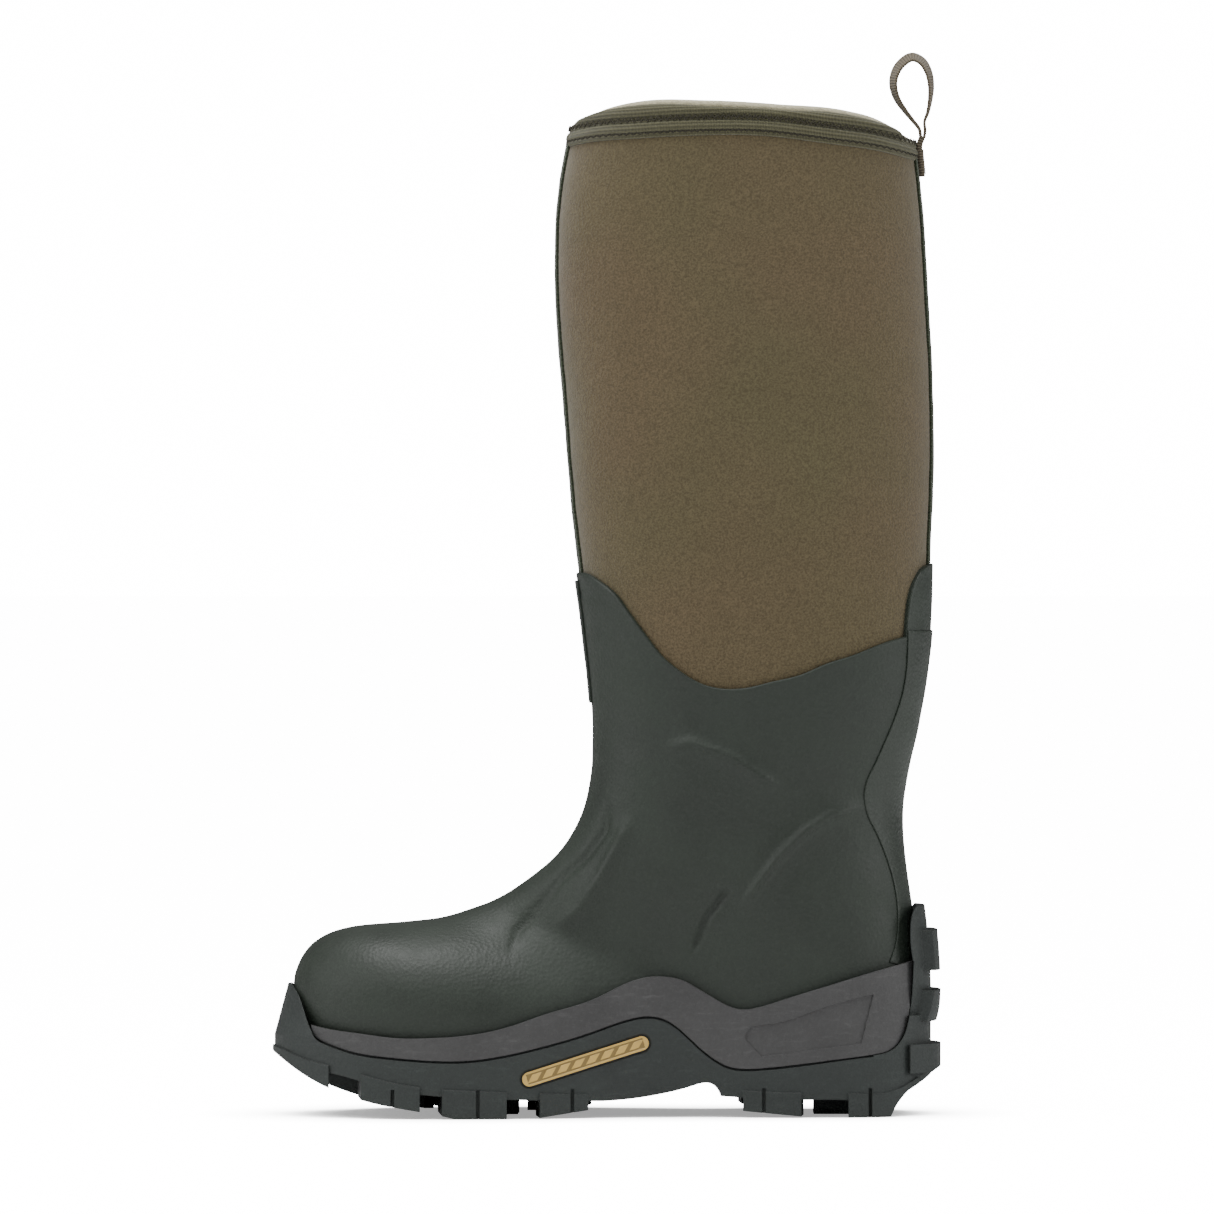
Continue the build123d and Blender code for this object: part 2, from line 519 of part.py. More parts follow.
def sole_region(low_line):
    """Everything in side view that the outsole fills: below the foxing, and behind it at the spur."""
    return through(BUMPER_FRONT, TOE_UNDER, PLATE, ARCH, HEEL_PLATE, [(60, 30), (60, 94)], [(60, 94), (34, 94)],
                   SPUR_FRONT[::-1], [SPUR_FRONT[0], low_line[-1]], low_line[::-1], BUMPER_BACK[::-1])


def build_bumper():
    """The toe's rubber above the foxing line: its face leans in towards the top."""
    low = outline(SIDE_FACE, BUMPER - OUTSOLE_SIDE)
    high = outline(SIDE_FACE - BUMPER_LEAN, BUMPER - OUTSOLE_SIDE)
    wall = Solid.make_loft([Pos(0, 0, BUMPER_LEAN_FROM) * low, Pos(0, 0, 60) * high], ruled=True)
    return wall & block(-THROUGH, -225 * GROW_X, -THROUGH, THROUGH, 0, 90)


def build_knobs():
    knobs = form(SOLE_INSIDE + SPUR + KNOB)
    cells = []
    for z0, z1 in KNOB_ROWS:
        cells += [block(20 * GROW_X, 90, y - KNOB_WIDTH / 2, y + KNOB_WIDTH / 2, z0, z1) for y in KNOB_Y]
    return (knobs & Compound(cells)).solids()


def badge_slot(grow):
    """The badge's rounded outline in side view, grown by grow on every side."""
    x, z = BADGE_MIDDLE
    slot = SlotOverall(BADGE_LENGTH + 2 * grow, BADGE_WIDTH + 2 * grow, rotation=BADGE_TILT)
    return Plane.XZ * Pos(x * GROW_X, z) * slot


def badge_plate(side):
    reach = extrude(badge_slot(0), -side * THROUGH / 2)
    floor = SIDE_FACE - BADGE_SUNK + BOND
    return (slab(outline(floor + BADGE), 0, 60) - slab(outline(floor), 0, 60)) & reach


def badge_recess():
    reach = extrude(badge_slot(BADGE_GROOVE), THROUGH / 2, both=True)
    return (slab(outline(SIDE_FACE + 5), 0, 60) - slab(outline(SIDE_FACE - BADGE_SUNK), 0, 60)) & reach


def build_outsole():
    low_line = shifted(FOXING_LOW, BOND)
    plan = slab(outline(SIDE_FACE, BUMPER - OUTSOLE_SIDE, SPUR - OUTSOLE_SIDE), 0, 45)
    plan -= block(-THROUGH, -225 * GROW_X, -THROUGH, THROUGH, BUMPER_LEAN_FROM, 90)
    spur = form(SOLE_INSIDE + SPUR) & block(22 * GROW_X, THROUGH, -THROUGH, THROUGH, 26, 100)
    sole = (plan + build_bumper() + spur + build_knobs()) & sole_region(low_line)
    ledge = slab(outline(SIDE_FACE, 0, SPUR - OUTSOLE_SIDE + KNOB), LEDGE[0], LEDGE[1])
    ledge &= through([(31, 0), (31, 60)], [(90, 60), (90, 50)], HEEL_SLOPE[::-1])
    sole = sole + ledge + build_lugs()
    groove = slab(outline(SIDE_FACE + 6), 0, 90) - slab(outline(FOXING_FACE - GROOVE_DEPTH), 0, 90)
    edge = FOXING_LOW[:-5]
    groove &= through(moved(edge, dz=1), moved(edge, dz=-FOXING_GROOVE)[::-1])
    sole = sole - form(SOLE_INSIDE) - midsole_room() - groove - sipes() - badge_recess()
    return sole - (form(SPUR_INSIDE) & above([(0, 66), (90, 66)]))


# ---------------------------------------------------------------- inside the boot
def build_board():
    """The lasting board: flat on top, and fitted to the curve of the lining below."""
    room = form(CAVITY - BOND) & slab(outline(BOARD_EDGE), 20, 70)
    return room & through(moved(FLOOR, dz=-8), moved(FLOOR, dz=BOARD)[::-1])


def build_footbed():
    low = BOARD + BOND
    room = form(CAVITY - FOOTBED_CLEARANCE) & slab(outline(CAVITY - FOOTBED_CLEARANCE, -FOOTBED_TOE_ROOM), 20, 70)
    return room & through(moved(FLOOR, dz=low), moved(FLOOR, dz=low + FOOTBED)[::-1])


# ---------------------------------------------------------------- pull loop
def loop_points(table):
    x, z = LOOP_FOLD
    wide, high = LOOP_SPREAD / 18.6, LOOP_HEIGHT / 37.7
    return [(x * GROW_X + dx * wide, height(z) + dz * high) for dx, dz in table]


def build_pull_loop():
    outer, hole = loop_points(LOOP_OUTER), loop_points(LOOP_HOLE)
    face = make_face([Spline(*outer), Line(outer[-1], outer[0])]) - make_face(Spline(*hole, periodic=True))
    face = face + Pos(LOOP_FOLD[0] * GROW_X, height(LOOP_FOLD[1])) * Circle(WEBBING)
    return extrude(Plane.XZ * face, WEBBING_WIDTH / 2, both=True)


def tail_face(near, far, drop0, drop1, slant=0.0):
    """A strip down the back of the collar, from drop0 to drop1 below the fold, between two depths from its inner face."""
    x, z = LOOP_FOLD[0] * GROW_X - WEBBING, height(LOOP_FOLD[1])
    lean = TAIL_LEAN
    corners = [(x + near + lean * drop0, z - drop0), (x + far + lean * (drop0 + slant), z - drop0 - slant)]
    corners += [(x + far + lean * drop1, z - drop1), (x + near + lean * drop1, z - drop1)]
    return Plane.XZ * make_face(Polyline(*corners, close=True))


def build_loop_tail():
    return extrude(tail_face(0, 2 * WEBBING, LOOP_GAP, LOOP_TAIL, LOOP_SLANT), WEBBING_WIDTH / 2, both=True)


def build_loop_stitching():
    """A box of stitches with a bar across it, lying on the tail's outer face."""
    near = 2 * WEBBING + THREAD_GAP
    half = WEBBING_WIDTH / 2 - 1.2
    top, low = LOOP_GAP + LOOP_SLANT + THREAD_WIDTH, LOOP_TAIL - 1.5
    field = extrude(tail_face(near, near + THREAD, top, low), half, both=True)
    z = height(LOOP_FOLD[1])
    holes = []
    bar = (top + low) / 2
    for drop0, drop1 in ((top + THREAD_WIDTH, bar - THREAD_WIDTH / 2), (bar + THREAD_WIDTH / 2, low - THREAD_WIDTH)):
        holes.append(block(0, 90, -half + THREAD_WIDTH, half - THREAD_WIDTH, z - drop1, z - drop0))
    return field - holes


# ---------------------------------------------------------------- build
def main():
    save(build_outsole(), "outsole")
    save(build_foxing(), "foxing_band")
    save(build_midsole(), "foam_midsole")
    save(shank_space(0), "shank")
    save(build_board(), "lasting_board")
    save(build_footbed(), "footbed")
    save(build_lining(), "fleece_lining")
    inner, outer = build_bootie()
    save(inner, "neoprene_inner")
    save(outer, "neoprene_outer")
    shell, strip, tab = build_upper_rubber()
    save(shell, "rubber_shell")
    save(strip, "rear_strip")
    save(tab, "rear_tab")
    save(build_shin_strip(), "shin_strip")
    front, rear = build_tapes()
    save(front, "front_seam_tape")
    save(rear, "rear_seam_tape")
    save(build_binding(), "collar_binding")
    save(build_collar_stitching(), "collar_stitching")
    save(build_loop_tail(), "pull_loop_tail")
    save(build_loop_stitching(), "pull_loop_stitching")
    save(build_pull_loop(), "pull_loop")
    save(badge_plate(-1), "badge_inner")
    save(badge_plate(1), "badge_outer")


if __name__ == "__main__":
    main()
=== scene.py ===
"""Insulated hunting boot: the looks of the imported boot, over its CAD pieces and in their frame, in metres."""

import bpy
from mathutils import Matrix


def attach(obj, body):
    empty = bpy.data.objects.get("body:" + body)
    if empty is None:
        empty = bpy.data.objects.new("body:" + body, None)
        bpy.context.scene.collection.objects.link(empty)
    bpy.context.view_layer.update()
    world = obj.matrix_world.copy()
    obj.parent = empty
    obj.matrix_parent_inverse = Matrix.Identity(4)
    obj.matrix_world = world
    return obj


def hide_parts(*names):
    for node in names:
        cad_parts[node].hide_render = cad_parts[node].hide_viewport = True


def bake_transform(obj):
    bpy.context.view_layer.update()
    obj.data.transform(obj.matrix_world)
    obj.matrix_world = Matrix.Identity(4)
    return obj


bl_info = {
    "name": "Insulated hunting boot",
    "version": (1, 0, 0),
    "blender": (4, 5, 0),
    "location": "View3D > Sidebar > Boot",
    "description": "Builds a tall neoprene and rubber boot over its packed CAD pieces",
    "category": "Object",
}

from math import cos, pi, radians, sin, tan

import bmesh
import bpy
import numpy as np
from mathutils import Vector
from mathutils.bvhtree import BVHTree

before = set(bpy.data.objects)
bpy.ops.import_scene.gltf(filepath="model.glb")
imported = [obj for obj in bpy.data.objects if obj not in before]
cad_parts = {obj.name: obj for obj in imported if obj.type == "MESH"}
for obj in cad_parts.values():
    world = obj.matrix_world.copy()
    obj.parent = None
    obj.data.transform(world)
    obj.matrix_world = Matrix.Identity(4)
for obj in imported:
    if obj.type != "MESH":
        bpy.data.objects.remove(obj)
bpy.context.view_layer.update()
MM = 0.001

# ---------------------------------------------------------------- side-view lines, in millimetres
# The middle of the boot from the collar down to the toe: x, z, and the way to the front of that section.
SPINE = [
    (-43.5, 474, -1, 0), (-45.3, 432, -1, 0), (-45.3, 395, -1, 0), (-43.3, 350, -1, 0), (-40.6, 300, -1, 0),
    (-38.7, 247, -1, 0.013), (-37.5, 203, -1, 0.04), (-39.5, 169, -1, 0.072), (-42, 143.5, -1, 0.096),
    (-44.3, 121, -1, 0.139), (-47.5, 101, -1, 0.192), (-51.5, 84.5, -1, 0.268), (-58.4, 70.6, -1, 0.327),
    (-70, 63, -1, 0.376), (-92, 60, -1, 0.434), (-118, 58.5, -1, 0.543), (-144, 56, -1, 0.788),
    (-167, 54, -1, 1.25), (-189.5, 53, -1, 2.1), (-209, 53, -1, 4.1), (-223, 53.5, -1, 8.7),
    (-232.6, 54, -1, 19), (-239, 54, -1, 38), (-242.6, 53, -1, 60),
]
TOPLINE = [(-126, 444.0), (-120, 446.5), (-110, 450.3), (-93, 453.0), (-60, 453.0), (-30, 451.5), (5, 448.6)]
TOPLINE += [(20, 445.0), (28, 441.4), (33, 438.2), (38, 436.0)]
BINDING_LOW = [(-126, 434.3), (-110, 437.0), (-94, 438.0), (-70, 439.3), (-36, 439.3), (-5, 435.7)]
BINDING_LOW += [(14, 433.2), (36, 428.0)]
SHELL_TOP = [(-122, 243.0), (-113, 243.5), (-107, 240.0), (-100, 234.0), (-94, 225.6), (-87, 216.0)]
SHELL_TOP += [(-80.5, 207.5), (-72, 200.2), (-62.5, 194.6), (-53, 192.4), (-43.5, 192.7), (-31, 195.6)]
SHELL_TOP += [(-19, 198.5), (-7, 203.6), (4.8, 207.3), (20, 213.2), (30, 215.8), (42, 217.0)]
# The side edges of the rear strip and tab, as height and x.
STRIP_EDGE = [(67.4, 21.5), (78.4, 25.1), (89.3, 25.8), (102.4, 24.5), (114.4, 21.2), (125.3, 16.9)]
STRIP_EDGE += [(136.2, 11.6), (144.4, 10.4), (150.4, 11.6), (159, 15.8), (171, 21.2), (185.3, 26.7)]
STRIP_EDGE += [(201.7, 29.6), (220, 30.0)]
TAB_EDGE = [(214, 29.2), (226.8, 30.4), (235.3, 32.0), (241.9, 35.0), (246.2, 38.6), (248.2, 42.5)]


def curve(rows, value):
    """A smooth line through rows of (position, reading), read at value."""
    rows = np.array(rows, float)
    x, y = rows[:, 0], rows[:, 1]
    slope = np.gradient(y, x)
    v = np.clip(value, x[0], x[-1])
    k = np.clip(np.searchsorted(x, v, side="right") - 1, 0, len(x) - 2)
    run = x[k + 1] - x[k]
    u = (v - x[k]) / run
    a, b = (2 * u**3 - 3 * u**2 + 1) * y[k], (u**3 - 2 * u**2 + u) * slope[k] * run
    return a + b + (3 * u**2 - 2 * u**3) * y[k + 1] + (u**3 - u**2) * slope[k + 1] * run


def cubic(u):
    """Weights of four neighbours for a smooth line through the middle two, u of the way between them."""
    before, start = (2 * u * u - u - u**3) / 2, (2 - 5 * u * u + 3 * u**3) / 2
    end, after = (u + 4 * u * u - 3 * u**3) / 2, (u**3 - u * u) / 2
    return [before, start, end, after]


# ---------------------------------------------------------------- the bootie's outer face as a regular grid
ROWS, COLUMNS = 176, 144


def measure_form():
    """Reads the bootie's outer face off the CAD, as a grid of points and normals from collar to toe."""
    tree = bmesh.new()
    for node in ("neoprene_inner", "neoprene_outer"):
        tree.from_mesh(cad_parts[node].data)
    bvh = BVHTree.FromBMesh(tree)
    tree.free()
    place = np.linspace(0, len(SPINE) - 1, ROWS)
    spine = np.array(SPINE, float)
    k = np.clip(place.astype(int), 0, len(SPINE) - 2)
    picks = [np.clip(k + n, 0, len(SPINE) - 1) for n in (-1, 0, 1, 2)]
    rows = sum(w[:, None] * spine[p] for w, p in zip(cubic(place - k), picks))
    points = np.full((ROWS, COLUMNS, 3), np.nan)
    for r, (x, z, dx, dz) in enumerate(rows):
        centre, ahead = Vector((x * MM, 0, z * MM)), Vector((dx, 0, dz)).normalized()
        if x < -150:
            centre.y = -0.0045 * min(1.0, (-150 - x) / 70)
        for c in range(COLUMNS):
            turn = (c + 0.5) * 2 * pi / COLUMNS
            way = ahead * cos(turn) + Vector((0, sin(turn), 0))
            hit = bvh.ray_cast(centre + way * 0.14, -way)[0]
            if hit is not None and (hit - centre).dot(way) > 0.004:
                points[r, c] = hit
    for c in range(COLUMNS):
        good = np.flatnonzero(~np.isnan(points[:, c, 0]))
        first = good[0] + 1
        for r in range(first - 1, -1, -1):
            points[r, c] = 2 * points[r + 1, c] - points[r + 2, c]
        for axis in range(3):
            points[:, c, axis] = np.interp(np.arange(ROWS), np.r_[: first + 1, good[good > first]],
                                           points[np.r_[: first + 1, good[good > first]], c, axis])
    for _ in range(2):
        points = (np.roll(points, 1, 1) + 2 * points + np.roll(points, -1, 1)) / 4
        points[1:-1] = (points[:-2] + 2 * points[1:-1] + points[2:]) / 4
    down = np.gradient(points, axis=0)
    round_ = np.roll(points, -1, 1) - np.roll(points, 1, 1)
    normals = np.cross(round_, down)
    normals /= np.linalg.norm(normals, axis=2, keepdims=True) + 1e-12
    middle = points.mean(axis=1, keepdims=True)
    if ((points - middle) * normals).sum() < 0:
        normals = -normals
    return points, normals


POINTS, NORMALS = measure_form()


def look(row, turn):
    """Points and normals of the bootie's face at fractional rows and turns, in radians from the front."""
    row, turn = np.broadcast_arrays(np.asarray(row, float), np.asarray(turn, float))
    row = np.clip(row, 0, ROWS - 1)
    i = np.minimum(row.astype(int), ROWS - 2)
    v = turn / (2 * pi) * COLUMNS - 0.5
    j = np.floor(v).astype(int)
    point, normal = 0, 0
    for a, wa in enumerate(cubic(row - i)):
        for b, wb in enumerate(cubic(v - j)):
            at = np.clip(i + a - 1, 0, ROWS - 1), (j + b - 1) % COLUMNS
            point = point + (wa * wb)[..., None] * POINTS[at]
            normal = normal + (wa * wb)[..., None] * NORMALS[at]
    return point, normal / (np.linalg.norm(normal, axis=-1, keepdims=True) + 1e-12)


def crossing(turn, line, low=0.0, high=ROWS - 1.0):
    """The row where the column at turn drops through a side-view line of (x, z)."""
    rows = np.linspace(low, high, 900)
    p, _ = look(rows, turn)
    drop = p[:, 2] / MM - curve(line, p[:, 0] / MM)
    k = int(np.argmax(drop < 0))
    if k == 0:
        raise ValueError(f"no crossing at {turn}")
    return float(np.interp(0, [-drop[k - 1], -drop[k]], [rows[k - 1], rows[k]]))


def down_column(turn, start, distances):
    """Rows at the given distances in millimetres below the start row, along the face."""
    rows = np.linspace(start - 8, min(start + 60, ROWS - 1), 500)
    p, _ = look(rows, turn)
    run = np.r_[0, np.cumsum(np.linalg.norm(np.diff(p, axis=0), axis=1))] / MM
    zero = np.interp(start, rows, run)
    return np.interp(np.array(distances) + zero, run, rows)


# ---------------------------------------------------------------- mesh helpers
def linear(code):
    """A colour as sRGB hex, in the linear values that shaders take."""
    values = [int(code[n : n + 2], 16) / 255 for n in (1, 3, 5)]
    return tuple(v / 12.92 if v <= 0.04045 else ((v + 0.055) / 1.055) ** 2.4 for v in values) + (1.0,)


def finish_mesh(bm, name, material, body="boot", cloth=None, smooth=True):
    if cloth is None:
        bmesh.ops.remove_doubles(bm, verts=bm.verts[:], dist=0.000002)
    mesh = bpy.data.meshes.new(name)
    bm.to_mesh(mesh)
    bm.free()
    if cloth is not None:
        wrap = mesh.attributes.new("cloth", "FLOAT_VECTOR", "POINT")
        wrap.data.foreach_set("vector", np.asarray(cloth, np.float32).ravel())
    if smooth:
        mesh.shade_smooth()
    mesh.materials.append(material)
    piece = bpy.data.objects.new(name, mesh)
    bpy.context.scene.collection.objects.link(piece)
    if body:
        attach(piece, body)
    return piece


def grid_into(bm, points):
    """Adds a grid to bm and lays it on the given rows of points. Returns its vertices in row order."""
    rows, columns = points.shape[:2]
    made = bmesh.ops.create_grid(bm, x_segments=columns - 1, y_segments=rows - 1, size=1)["verts"]
    tall, wide = (rows - 1) / 2, (columns - 1) / 2
    order = sorted(made, key=lambda v: (round(v.co.y * tall, 3), round(v.co.x * wide, 3)))
    for vert, spot in zip(order, points.reshape(-1, 3)):
        vert.co = spot
    return order


def sheet(name, points, material, outward, body="boot", cloth=None):
    """A skin from a grid of points. outward is a grid of directions that its face should look along."""
    bm = bmesh.new()
    order = grid_into(bm, points)
    where = {v: k for k, v in enumerate(order)}
    bm.normal_update()
    flat = outward.reshape(-1, 3)
    lean = sum(f.normal.dot(Vector(flat[where[f.verts[0]]])) for f in bm.faces)
    if lean < 0:
        bmesh.ops.reverse_faces(bm, faces=bm.faces[:])
    if cloth is not None:
        values = cloth.reshape(-1, 3)
        cloth = [values[where[v]] for v in bm.verts]
    return finish_mesh(bm, name, material, body, cloth)


def near_line(x, z, line):
    """Distance from side-view points to a polyline, and how far along it they are, from 0 to 1."""
    best = np.full(np.shape(x), 1e9)
    along = np.zeros(np.shape(x))
    line = np.array(line, float)
    lengths = np.linalg.norm(np.diff(line, axis=0), axis=1)
    before = np.r_[0, np.cumsum(lengths)]
    for k in range(len(line) - 1):
        a, d = line[k], line[k + 1] - line[k]
        t = np.clip(((x - a[0]) * d[0] + (z - a[1]) * d[1]) / (d @ d), 0, 1)
        gap = np.hypot(x - a[0] - t * d[0], z - a[1] - t * d[1])
        closer = gap < best
        best = np.where(closer, gap, best)
        along = np.where(closer, (before[k] + t * lengths[k]) / before[-1], along)
    return best, along


def ripple(p, seed, size, octaves=2):
    """Soft unevenness from -1 to 1 at points p, with waves about size metres long."""
    rng = np.random.default_rng(seed)
    total = 0
    for octave in range(octaves):
        for _ in range(5):
            way = rng.normal(size=3)
            way *= 2 * pi / (size / 2**octave * np.linalg.norm(way)) * rng.uniform(0.7, 1.3)
            total = total + np.sin(p @ way + rng.uniform(0, 2 * pi)) / 2**octave / 5
    return total


# ---------------------------------------------------------------- skins laid over the form
def skin(row, turn, off):
    """Points on the form pushed out by off millimetres, softly uneven above the sole."""
    point, normal = look(row, turn)
    soft = np.clip((point[..., 2] - 0.11) / 0.05, 0, 1) * np.clip((0.447 - point[..., 2]) / 0.03, 0, 1)
    wave = (0.55 * ripple(point, 5, 0.085) + 0.16 * ripple(point, 9, 0.026)) * soft
    return point + normal * ((np.asarray(off, float) + wave) * MM)[..., None], normal


# The rounded edge of a strip: millimetres in from its side, and share of its height
LIP = [(0.15, -0.2), (0.04, 0.35), (0.0, 0.6), (0.06, 0.8), (0.2, 0.93), (0.45, 0.99), (0.8, 1.0)]


def patch(name, rows, left, right, low, high, material, top=True, bottom=True, lines=70):
    """A raised strip between two turns at each row, rounded at its edges from low to high off the form."""
    middle, _ = look(rows, (left + right) / 2)
    run = np.r_[0, np.cumsum(np.linalg.norm(np.diff(middle, axis=0), axis=1))] / MM
    ends = [d for d, _ in LIP]
    down = np.r_[ends, np.linspace(1.2, run[-1] - 1.2, lines), [run[-1] - d for d in ends[::-1]]]
    rows, left, right = (np.interp(down, run, v) for v in (rows, left, right))
    p0, _ = look(rows, left)
    p1, _ = look(rows, (left + right) / 2)
    p2, _ = look(rows, right)
    width = (np.linalg.norm(p1 - p0, axis=1) + np.linalg.norm(p2 - p1, axis=1)) / MM
    steps = 44
    across = []
    for w in width:
        across.append(np.r_[ends, np.linspace(1.2, w - 1.2, steps), [w - d for d in ends[::-1]]])
    across = np.array(across)
    turn = left[:, None] + (right - left)[:, None] * across / width[:, None]
    rise = np.array([h for _, h in LIP])
    side = np.r_[rise, np.ones(steps), rise[::-1]]
    level = np.ones(len(rise))
    end = np.r_[rise if top else level, np.ones(lines), rise[::-1] if bottom else level]
    off = low + (high - low) * np.minimum(side[None, :], end[:, None])
    points, normal = skin(rows[:, None], turn, off)
    length_way = np.repeat(down[:, None], across.shape[1], 1)
    cloth = np.stack([(across - width[:, None] / 2) * MM, length_way * MM, off * 0], 2)
    return sheet(name, points, material, normal, cloth=cloth)


def row_at(turn, z):
    """The row where the column at turn passes a height in millimetres."""
    return crossing(turn, [(-400, z), (200, z)])


def edge_turn(row, line, side, off):
    """The turn on side 1 or -1 where a row meets a side-view line of (z, x), off millimetres outside the form.

    It is the last turn before the back if the row never gets to the line.
    """
    turns = np.linspace(pi / 2, pi - 0.02, 400)
    p, n = look(np.full(400, row), turns if side > 0 else 2 * pi - turns)
    p = p + n * off * MM
    past = p[:, 0] / MM - curve(line, p[:, 2] / MM)
    k = int(np.argmax(past > 0)) if (past > 0).any() else 399
    k = max(1, k)
    at = float(np.interp(0, [past[k - 1], past[k]], [turns[k - 1], turns[k]]))
    return at if side > 0 else 2 * pi - at


def strap_turns(rows, centre, half):
    """Turns on either side of a centre turn, half a width in millimetres away, at each row."""
    left, right = [], []
    for row in rows:
        t = centre + np.linspace(-0.6, 0.6, 121)
        p, _ = look(np.full(121, row), t)
        left.append(np.interp(half * MM, p[:, 1][np.argsort(p[:, 1])], t[np.argsort(p[:, 1])]))
        right.append(np.interp(-half * MM, p[:, 1][np.argsort(p[:, 1])], t[np.argsort(p[:, 1])]))
    left, right = np.array(left), np.array(right)
    return np.minimum(left, right), np.maximum(left, right)


def tube(bm, path, normals, radius, sides=6, closed=True, flat=1.0):
    """Adds a round thread along a path, flattened along its normals."""
    step = np.roll(path, -1, 0) - np.roll(path, 1, 0) if closed else np.gradient(path, axis=0)
    step = step / (np.linalg.norm(step, axis=1, keepdims=True) + 1e-12)
    across = np.cross(step, normals)
    across /= np.linalg.norm(across, axis=1, keepdims=True) + 1e-12
    angle = np.linspace(0, 2 * pi, sides + 1)
    wave, lift = np.cos(angle)[None, :, None], np.sin(angle)[None, :, None]
    ring = across[:, None, :] * wave + normals[:, None, :] * lift * flat
    points = path[:, None, :] + ring * radius
    if closed:
        points = np.concatenate([points, points[:1]])
    grid_into(bm, points)


# ---------------------------------------------------------------- materials
def add(tree, kind, inputs=None, **settings):
    """Adds a shader node. inputs are values, or sockets to link, by input name or number."""
    new = tree.nodes.new("ShaderNode" + kind)
    for key, value in settings.items():
        setattr(new, key, value)
    for key, value in (inputs or {}).items():
        if isinstance(value, bpy.types.NodeSocket):
            tree.links.new(value, new.inputs[key])
        else:
            new.inputs[key].default_value = value
    return new


def mix(tree, factor, a, b):
    return add(tree, "Mix", {0: factor, 6: a, 7: b}, data_type="RGBA").outputs[2]


def sums(tree, kind, a, b):
    """One step of shader arithmetic on two values or sockets."""
    return add(tree, "Math", {0: a, 1: b}, operation=kind).outputs[0]


def remap(tree, value, low, high, to_low=0.0, to_high=1.0):
    return add(tree, "MapRange", {0: value, 1: low, 2: high, 3: to_low, 4: to_high}).outputs[0]


def noise(tree, place, size, detail=2.0, rough=0.5):
    """Noise with features about size metres across."""
    inputs = {"Vector": place, "Scale": 1 / size, "Detail": detail, "Roughness": rough}
    return add(tree, "TexNoise", inputs).outputs[0]


def bump(tree, height, depth, strength=1.0, under=None):
    inputs = {"Height": height, "Distance": depth, "Strength": strength}
    if under is not None:
        inputs["Normal"] = under
    return add(tree, "Bump", inputs).outputs[0]


def blank(name, **values):
    material = bpy.data.materials.new(name)
    material.use_nodes = True
    tree = material.node_tree
    shader = tree.nodes["Principled BSDF"]
    for key, value in values.items():
        shader.inputs[key.replace("_", " ")].default_value = value
    return material, tree, shader


def place_of(tree):
    return add(tree, "TexCoord").outputs["Object"]


def cloth_of(tree):
    return add(tree, "Attribute", attribute_name="cloth").outputs["Vector"]


def shade(colour, factor):
    return tuple(min(1.0, c * factor) for c in colour[:3]) + (1.0,)


def neoprene(name, colour):
    # Foam rubber faced with a brushed knit: matt, finely grained, faintly pilled
    material, tree, shader = blank(
        name, Roughness=0.92, Sheen_Weight=0.25, Sheen_Roughness=0.5, Specular_IOR_Level=0.2
    )
    place = place_of(tree)
    blotch = noise(tree, place, 0.035, 3, 0.6)
    grain = noise(tree, place, 0.0009, 2, 0.7)
    pill = noise(tree, place, 0.0042, 2, 0.6)
    wide = noise(tree, place, 0.11, 2, 0.5)
    red, green, blue = colour[:3]
    mossy, sandy = (red * 0.9, green, blue * 0.92, 1.0), (red * 1.04, green * 0.99, blue, 1.0)
    base = mix(tree, remap(tree, wide, 0.35, 0.65), mossy, sandy)
    base = mix(tree, remap(tree, blotch, 0.3, 0.7, 0, 0.16), base, shade(colour, 0.6))
    base = mix(tree, remap(tree, grain, 0.38, 0.64, 0, 0.68), base, shade(colour, 0.46))
    tree.links.new(base, shader.inputs["Base Color"])
    soft = bump(tree, pill, 0.0004, 0.5)
    tree.links.new(bump(tree, grain, 0.00045, 0.9, soft), shader.inputs["Normal"])
    return material


def rubber(name, colour, rough=0.5, grain=0.0017, scuff=0.0, depth=0.00017, edge=0.0):
    # Moulded rubber, finely grained like leather. scuff whitens worn patches; edge softens corners by shading
    material, tree, shader = blank(name, Specular_IOR_Level=0.42)
    place = place_of(tree)
    blotch = noise(tree, place, 0.03, 4, 0.62)
    cells = add(tree, "TexVoronoi", {"Vector": place, "Scale": 1 / grain}).outputs["Distance"]
    dust = noise(tree, place, 0.0016, 3, 0.7)
    base = mix(tree, remap(tree, blotch, 0.3, 0.72), shade(colour, 0.84), shade(colour, 1.16))
    base = mix(tree, remap(tree, dust, 0.5, 0.75, 0, 0.22), base, shade(colour, 1.9))
    if scuff:
        stretched = add(tree, "Mapping", {"Vector": place, "Scale": (1.0, 1.0, 5.0)}).outputs[0]
        rub = noise(tree, stretched, 0.012, 6, 0.75)
        base = mix(tree, remap(tree, rub, 0.55, 0.72, 0, scuff), base, shade(colour, 2.6))
    tree.links.new(base, shader.inputs["Base Color"])
    tree.links.new(remap(tree, blotch, 0.3, 0.7, rough - 0.08, rough + 0.1), shader.inputs["Roughness"])
    under = add(tree, "Bevel", {"Radius": edge}, samples=6).outputs[0] if edge else None
    wave = bump(tree, noise(tree, place, 0.012, 2, 0.5), 0.0003, 0.5, under)
    tree.links.new(bump(tree, cells, depth, 0.8, wave), shader.inputs["Normal"])
    return material


WAVES_PER_SCALE = 3.18  # bands that a wave texture puts in one unit at scale 1


